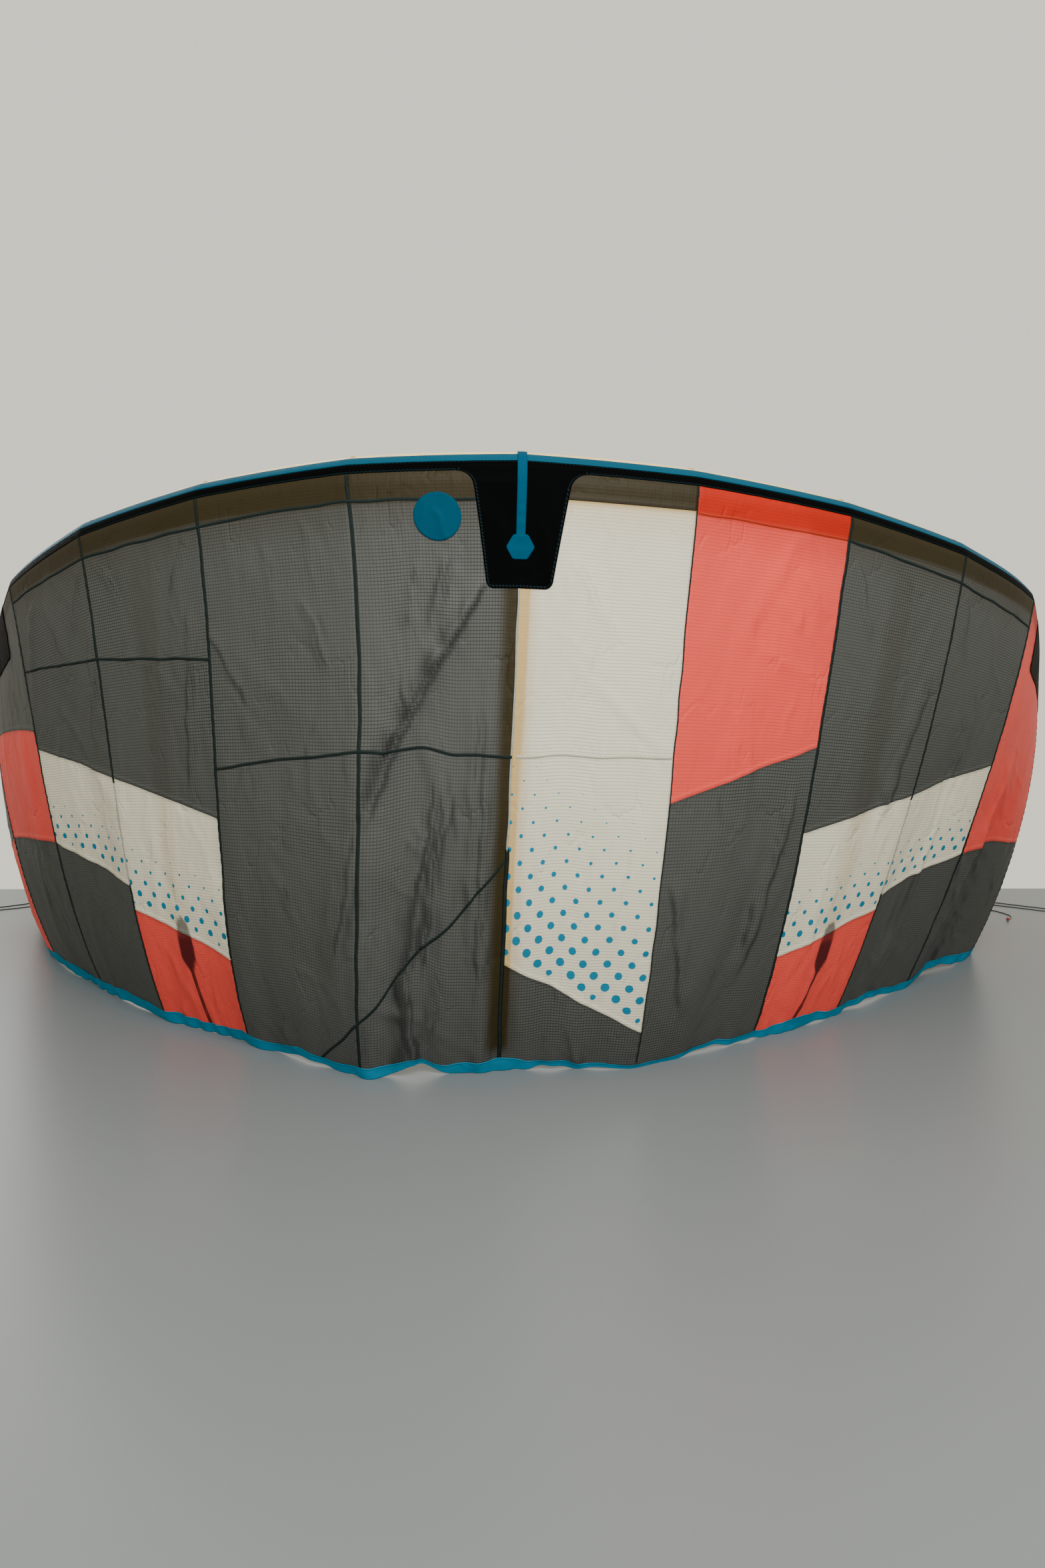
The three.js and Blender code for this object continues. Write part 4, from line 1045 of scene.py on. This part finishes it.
for side, first, last in (("left", -last_station, 0), ("right", 0, last_station)):
    gore = gore_name(-1 if side == "left" else 0)
    points, uv = tube_strip(first, last, piping_edges, cloth_thickness + 1.0 * mm)
    piping = add_piece(f"piping_{side}", points, uv, [piping_material],
                       [f"leading_edge_piping_{side}"], wall=0.5 * mm)
    points, uv = tube_strip(first, last, band_edges, cloth_thickness + 0.6 * mm)
    band = add_piece(f"band_{side}", points, uv, [band_material],
                     [f"leading_edge_band_{side}"], wall=0.5 * mm)
    sewn_on[gore] += [piping, band]

# ---------- bridle patches ----------
# Black reinforcement of heavy woven polyester where the bridle pulls on the leading edge. Each is laid
# over the tube, under the band, and sewn to the gore on both sides of a seam.

# Heavy woven polyester, dyed black and uncoated: matt, with hardly a glint on its threads.
patch_material = woven("polyester_patch_black", black_hex, 0.55, shine=0.015)


def grid_patch(station, down, middle, offset):
    """Patch on the cloth from two arrays of stations and shares down, with a UV map in metres whose
    upright axis lies at the station "middle"."""
    uv = np.stack([(station - middle) * gore_width, down * chord_length], axis=-1)
    return cloth(station, down, offset), uv


patch_station = 4.75
patch_top = -1.02  # place down, under the band
share_on_tube = 0.3  # of the patch's rows
for side, sign in (("left", -1), ("right", 1)):
    along, across = np.meshgrid(np.linspace(-1, 1, 60), np.linspace(0, 1, 40), indexing="ij")
    corner = 1 - np.clip((np.abs(along) - 0.93) / 0.07, 0, 1) ** 2 * 0.12
    bottom = 0.13 - 0.02 * (1 + along * sign)
    hanging = bottom * (across - share_on_tube) / (1 - share_on_tube) * corner
    down = np.where(across < share_on_tube, patch_top * (1 - across / share_on_tube), hanging)
    station = sign * patch_station + 0.5 * along
    points, uv = grid_patch(station, down, sign * patch_station, cloth_thickness + 1.5 * mm)
    patch = add_piece(f"patch_{side}", points, uv, [patch_material],
                      [f"bridle_patch_{side}"], wall=0.8 * mm)
    sewn_on[gore_name(4 if side == "right" else -5)].append(patch)

# ---------- centre patch, strap, pad and disc ----------
# Black woven patch that spreads the pull of the centre strap: it flares into the band above, narrows
# downwards and has rounded lower corners. A blue strap runs down its middle to a six-sided pad.

centre_top, centre_bottom = -1.15, 0.165
centre_halves = (0.295, 0.205)  # half width in stations under the band and at the bottom
centre_fillet = 40 * mm
centre_corner = 20 * mm
band_end = band_edges[1] + float(tape_turn(0))  # place down at which the band above ends here


def centre_half(down):
    """Half width of the centre patch in stations: straight sides, a quarter circle that flares out to
    the band above and another that rounds the lower corners."""
    on_tube = -band_end * wrap_length
    below_band = np.where(down < 0, (down - band_end) * wrap_length, on_tube + down * chord_length)
    share = np.clip(below_band / (on_tube + centre_bottom * chord_length), 0, 1)
    half = centre_halves[0] + (centre_halves[1] - centre_halves[0]) * share
    flare = np.clip(1 - below_band / centre_fillet, 0, 1)
    half = half + centre_fillet * (1 - np.sqrt(1 - flare**2)) / gore_width
    above_end = (centre_bottom - down) * chord_length
    round_off = np.clip(1 - above_end / centre_corner, 0, 1)
    return half - centre_corner * (1 - np.sqrt(1 - round_off**2)) / gore_width


down = np.concatenate([np.linspace(centre_top, band_end, 4)[:-1], band_end * np.linspace(1, 0, 26) ** 1.5,
                       np.linspace(0.0, centre_bottom - 0.013, 30)[1:],
                       centre_bottom - 0.0125 * (1 - np.sin(np.linspace(0, np.pi / 2, 12)))])
across = np.linspace(-1, 1, 60)
half = centre_half(down)
station = across[None, :] * half[:, None]
points, uv = grid_patch(station, down[:, None] + 0 * station, 0, cloth_thickness + 1.6 * mm)
from_side = (np.abs(across)[None, :] - 1) * half[:, None] * gore_width
from_end = (down[:, None] - centre_bottom) * chord_length + 0 * station
uv = np.stack([np.maximum(from_side, from_end), uv[..., 0] + uv[..., 1]], axis=-1)
# The same cloth as the bridle patches', with one row of stitches along its border.
centre_material = stitched("polyester_centre_patch_black", black_hex, "1F3239", [-6 * mm], 0.5,
                           pitch=10 * mm, shine=0.015)
centre_piece = add_piece("patch_centre", points, uv, [centre_material],
                         ["centre_patch"], wall=0.9 * mm)
sewn_on["left_1"].append(centre_piece)

strap_width = 26 * mm
strap_top, pad_down = -2.95, 0.1
pad_corner, pad_reach = 38 * mm, 36.6 * mm  # middle to corner, sharp and as it is
disc_radius = 64 * mm
down = np.concatenate([np.linspace(strap_top, 0, 26), np.linspace(0, pad_down, 24)[1:]])
station, down = np.meshgrid(np.linspace(-1, 1, 7) * (strap_width / 2 / gore_width), down)
points, uv = grid_patch(station, down, 0, cloth_thickness + 3.0 * mm)
# Strap of woven polyester webbing and disc of woven tape, both dyed a dull dark blue.
strap_material = woven("polyester_strap_blue", "00455E", 0.5, shine=0.04)
blue_material = woven("polyester_tape_blue", "004055", 0.55, shine=0.06)
strap = add_piece("strap", points, uv, [strap_material], ["pull_strap"], wall=1.2 * mm)


def cloth_disc(station, down, outline, rings, offset):
    """Disc on the cloth: rings of points from a small one at its middle to its outline, which gives
    the radius in metres at each angle. Across and down are scaled to the cloth's size there."""
    step = 0.01
    around = cloth(np.array([station - step, station + step, station, station]),
                   np.array([down, down, down - step, down + step]), 0)
    wide, high = (np.linalg.norm(around[i] - around[i + 1]) / (2 * step) for i in (0, 2))
    angle = np.linspace(0, 2 * np.pi, 72, endpoint=False)
    reach = np.linspace(0.02, 1, rings)[:, None] * outline(angle)[None, :]
    x, y = reach * np.sin(angle), reach * np.cos(angle)
    return cloth(station + x / wide, down + y / high, offset), np.stack([x, y], axis=-1)


def hexagon(angle):
    """Radius of a six-sided outline: the flat side's distance over the cosine of the angle from its
    middle. The corners are slightly rounded."""
    side = np.pi / 3
    within = (angle + side / 2) % side - side / 2
    flat = pad_corner * np.cos(side / 2) / np.cos(np.abs(within) - side / 2)
    return np.minimum(flat, pad_reach)


points, uv = cloth_disc(0.0, pad_down, lambda angle: hexagon(angle + np.pi / 2), 12,
                        cloth_thickness + 3.5 * mm)
pad = add_piece("pad", points, uv, [strap_material], ["strap_pad"], round_about="open",
                wall=1.6 * mm)
points, uv = cloth_disc(-0.5, 0.052, lambda angle: disc_radius + 0 * angle, 16, cloth_thickness + 2.0 * mm)
disc = add_piece("sticker_disc", points, uv, [blue_material], [], round_about="open",
                 wall=0.3 * mm)
sewn_on["left_1"] += [strap, pad, disc]

# ---------- struts ----------
# Three air-filled sleeves of cream woven polyester are sewn to the inner side of the cloth. The centre
# one runs down to the edge; the side ones end in a dark cap, tied to the edge by a strip of webbing.

strut_gap = 0.8 * mm
cap_hex = "1B1D20"


def strut_rings(station, down, radius):
    """Rings round a line that lies one radius and a small gap inside the cloth. Points that would be
    inside the tube are pushed out to its skin."""
    station = np.full_like(down, station)
    normal = cloth_normal(station, down)
    centre = inner_face(station, down) - normal * (strut_gap + radius)[:, None]
    ahead = unit(np.gradient(centre, axis=0))
    side = unit(np.cross(normal, ahead))
    turn = np.linspace(0, 2 * np.pi, 40, endpoint=False)[None, :, None]
    rings = centre[:, None] + radius[:, None, None] * (
        np.cos(turn) * normal[:, None] + np.sin(turn) * side[:, None])
    middle, along = tube_frame(station[:1])[:2]
    reach = rings - middle
    reach = reach - (reach @ along[0])[..., None] * along[0]
    size = np.linalg.norm(reach, axis=-1, keepdims=True)
    skin = tube_radius(station[:1]) + 0.5 * mm
    rings = rings + reach / size * np.maximum(skin - size, 0)
    uv = np.stack(np.meshgrid(distance_along(centre), turn.ravel(), indexing="ij"), axis=-1)
    uv[..., 1] *= radius[:, None]
    return rings, uv


def strut_profile(side):
    """Shares down and radii of a strut: an even taper with a rounded end, drawn in to a third by the
    cosine of an angle that goes from 0 to 1.3 radians."""
    start, end = strut_radii[side]
    stop = strut_ends[side]
    rounding = end / chord_length * 0.55
    turn = np.linspace(0, 1, 12)[1:] * 1.3
    straight = np.linspace(0.03, stop - rounding, 90)
    down = np.concatenate([straight, stop - rounding * (1 - np.sin(turn) / np.sin(1.3))])
    radius = start + (end - start) * (down / stop)
    return down, radius * np.concatenate([np.ones(len(straight)), np.cos(turn)])


# Cap of coated polyester, black with a faint sheen, and matt black webbing with one row of stitches.
cap_material = woven("polyester_cap_black", cap_hex, 0.6, 3 * mm, 0.35)
webbing_material = stitched("polyester_webbing_black", tape_hex, tape_stitch_hex, [0.0], 0.6,
                            thread=1.0 * mm, pitch=7 * mm)
for side, station in strut_stations.items():
    down, radius = strut_profile(side)
    rings, uv = strut_rings(station, down, radius)
    add_piece(f"strut_sleeve_{side}", rings, uv, [cream_material], [f"strut_{side}"],
              round_about=True)
    if side not in cap_ends:
        continue
    start, end = strut_ends[side] + 0.001, cap_ends[side]
    down = np.linspace(start, end, 40)
    share = (down - start) / (end - start)
    narrowing = (1 - 0.62 * ramp((share - 0.25) / 0.75)) * (0.9 + 0.1 * ramp(share / 0.1))
    radius = strut_radii[side][1] * narrowing
    rings, uv = strut_rings(station, down, radius)
    add_piece(f"cap_{side}", rings, uv, [cap_material], [f"strut_cap_{side}"],
              round_about=True)

    low = float(hem_share(np.array(station), 40 * mm))
    end_station = float(webbing_middle(side, low))
    line = line_between([(station, end + 0.001), (end_station, low)])
    points, uv = strip_along(*line, webbing_width, -2.6 * mm)
    webbing = add_piece(f"webbing_{side}", points, uv, [webbing_material],
                        [f"tail_webbing_{side}"], wall=1.0 * mm)

    low, high = (float(hem_share(np.array(station), height)) for height in (8 * mm, 42 * mm))
    line = line_between([(end_station, high), (end_station, low)], 3 * mm)
    points, uv = strip_along(*line, 45 * mm, -3.2 * mm, 16)
    tail = add_piece(f"tail_{side}", points, uv, [patch_material],
                     [f"tail_patch_{side}"], wall=0.8 * mm)
    sewn_on[gore_name(int(np.floor(station)))] += [webbing, tail]

# ---------- edge binding ----------
# Blue woven tape folded round the lower edge of the cloth, 12 to 50 mm high on the outer side. It
# stands on the ground and follows the edge where that lifts and bends.

binding_ends = (-7, -5, -3, -1, 1, 3, 5, 7)
binding_names = ("left_tip", "left_outer", "left_inner", "centre", "right_inner", "right_outer",
                 "right_tip")
# How high the outer wall shows: station, height in metres. Where it is low the tape is rolled under.
binding_heights = np.array([
    (-7, 0.036), (-5, 0.040), (-3, 0.042), (-2, 0.036), (-1.25, 0.025), (-0.85, 0.040), (-0.68, 0.028),
    (-0.58, 0.018), (-0.48, 0.016), (-0.3, 0.034), (0, 0.047), (0.18, 0.032), (0.34, 0.018),
    (0.5, 0.022), (0.65, 0.014), (1.0, 0.012), (1.5, 0.014), (1.9, 0.022), (2.2, 0.038), (2.45, 0.046),
    (2.8, 0.034), (3.5, 0.026), (4.0, 0.032), (4.6, 0.034), (5.6, 0.050), (7, 0.044),
])


def folded_tape(first, last):
    """Section of the folded tape along the edge. "around" runs from the top of the outer wall (-1)
    through the fold (0) to the top of the inner wall (1); the walls gape a little, unevenly."""
    station, around = np.meshgrid(np.linspace(first, last, 240), np.linspace(-1, 1, 25), indexing="ij")
    reach = np.abs(around)
    gape = 0.9 * mm + 1.5 * mm * (0.5 + 0.5 * np.sin(station * 17 + 2 * np.sin(station * 5))) * reach**3
    tall = np.interp(station, *binding_heights.T)
    tall = tall * (1 + 0.08 * np.sin(station * 11 + 1.5 * np.sin(station * 4)))
    height = tall * np.clip(reach - 0.1, 0, 1) / 0.9
    half = cloth_thickness / 2 + gape
    from_fold = np.clip(1 - reach / 0.12, 0, 1)
    offset = cloth_thickness / 2 - np.sign(around) * half * np.sqrt(1 - from_fold**2)
    points = cloth(station, hem_share(station, height), offset)
    points[..., 2] -= (binding_sole - 0.1 * mm) * from_fold
    points[..., 2] = np.maximum(points[..., 2], 0.05 * mm)
    from_top = (1 - np.abs(around)) * tall
    uv = np.stack([np.where(around < 0, from_top, 0.2 - from_top), station * gore_width], axis=-1)
    return points, uv


# Woven polyester tape in a brighter blue, with one row of stitches close under its upper edge.
binding_material = stitched("polyester_binding_blue", "04799A", "02485C", [3.5 * mm], 0.5, pitch=8 * mm,
                            swing=1.2 * mm)
for name, first, last in zip(binding_names, binding_ends, binding_ends[1:]):
    points, uv = folded_tape(first, last)
    binding = add_piece(f"binding_{name}", points[:, ::-1], uv[:, ::-1], [binding_material],
                        [f"edge_binding_{name}"], wall=0.4 * mm)
    sewn_on[gore_name(first)].append(binding)

# For each gore, the points of its grid are read back and the width of each row is summed along
# the cloth.
for name, gore in gores.items():
    grid = np.array([vertex.co for vertex in gore.data.vertices]).reshape(-1, gore_columns, 3)
    wide = np.linalg.norm(np.diff(grid, axis=1), axis=-1).sum(1)

# ---------- floor and light ----------
# Plain pale floor that ends close behind the kite, and soft studio light: one broad lamp above and in
# front, a weak one behind on the left, and light from all round.

floor_reach, floor_end = 30, 1.2  # metres to the sides and to the front, and behind the kite
floor_corners = [(-floor_reach, -floor_reach, 0), (floor_reach, -floor_reach, 0),
                 (floor_reach, floor_end, 0), (-floor_reach, floor_end, 0)]
floor_mesh = bpy.data.meshes.new("floor")
floor_mesh.from_pydata(floor_corners, [], [(0, 1, 2, 3)])
floor = add_object("floor", floor_mesh)
# Painted concrete: grey, smooth enough to mirror the kite's foot softly.
floor_material = new_material("floor_painted")
floor_paint = add_node(floor_material, "BsdfPrincipled", {
    "Base Color": linear("717577"), "Roughness": 0.34, "Specular IOR Level": 0.35})
add_node(floor_material, "OutputMaterial", {"Surface": floor_paint})
floor_mesh.materials.append(floor_material)


def lamp(name, place, size, watts, aim):
    """Soft rectangular lamp at a place, facing a point."""
    data = bpy.data.lights.new(name, "AREA")
    data.shape = "RECTANGLE"
    data.size, data.size_y = size
    data.energy = watts
    light = add_object(name, data)
    back = unit(np.array(place) - np.array(aim))
    side = unit(np.cross([0, 1.0, 0.001], back))
    turned = np.column_stack([side, np.cross(back, side), back])
    light.matrix_world = Matrix.Translation(place) @ Matrix(turned.tolist()).to_4x4()


lamp("ceiling_lamp", (0.5, -4.0, 3.6), (3.2, 2.4), 230, (0, -0.9, 0.5))
lamp("back_lamp", (-2.8, 3.0, 3.0), (4.0, 2.0), 90, (-1.0, 0, 0.5))
world = bpy.data.worlds.new("studio")
bpy.context.scene.world = world
world.use_nodes = True
sky = world.node_tree.nodes["Background"]
sky.inputs["Color"].default_value = linear("DEDACC")
sky.inputs["Strength"].default_value = 1.4
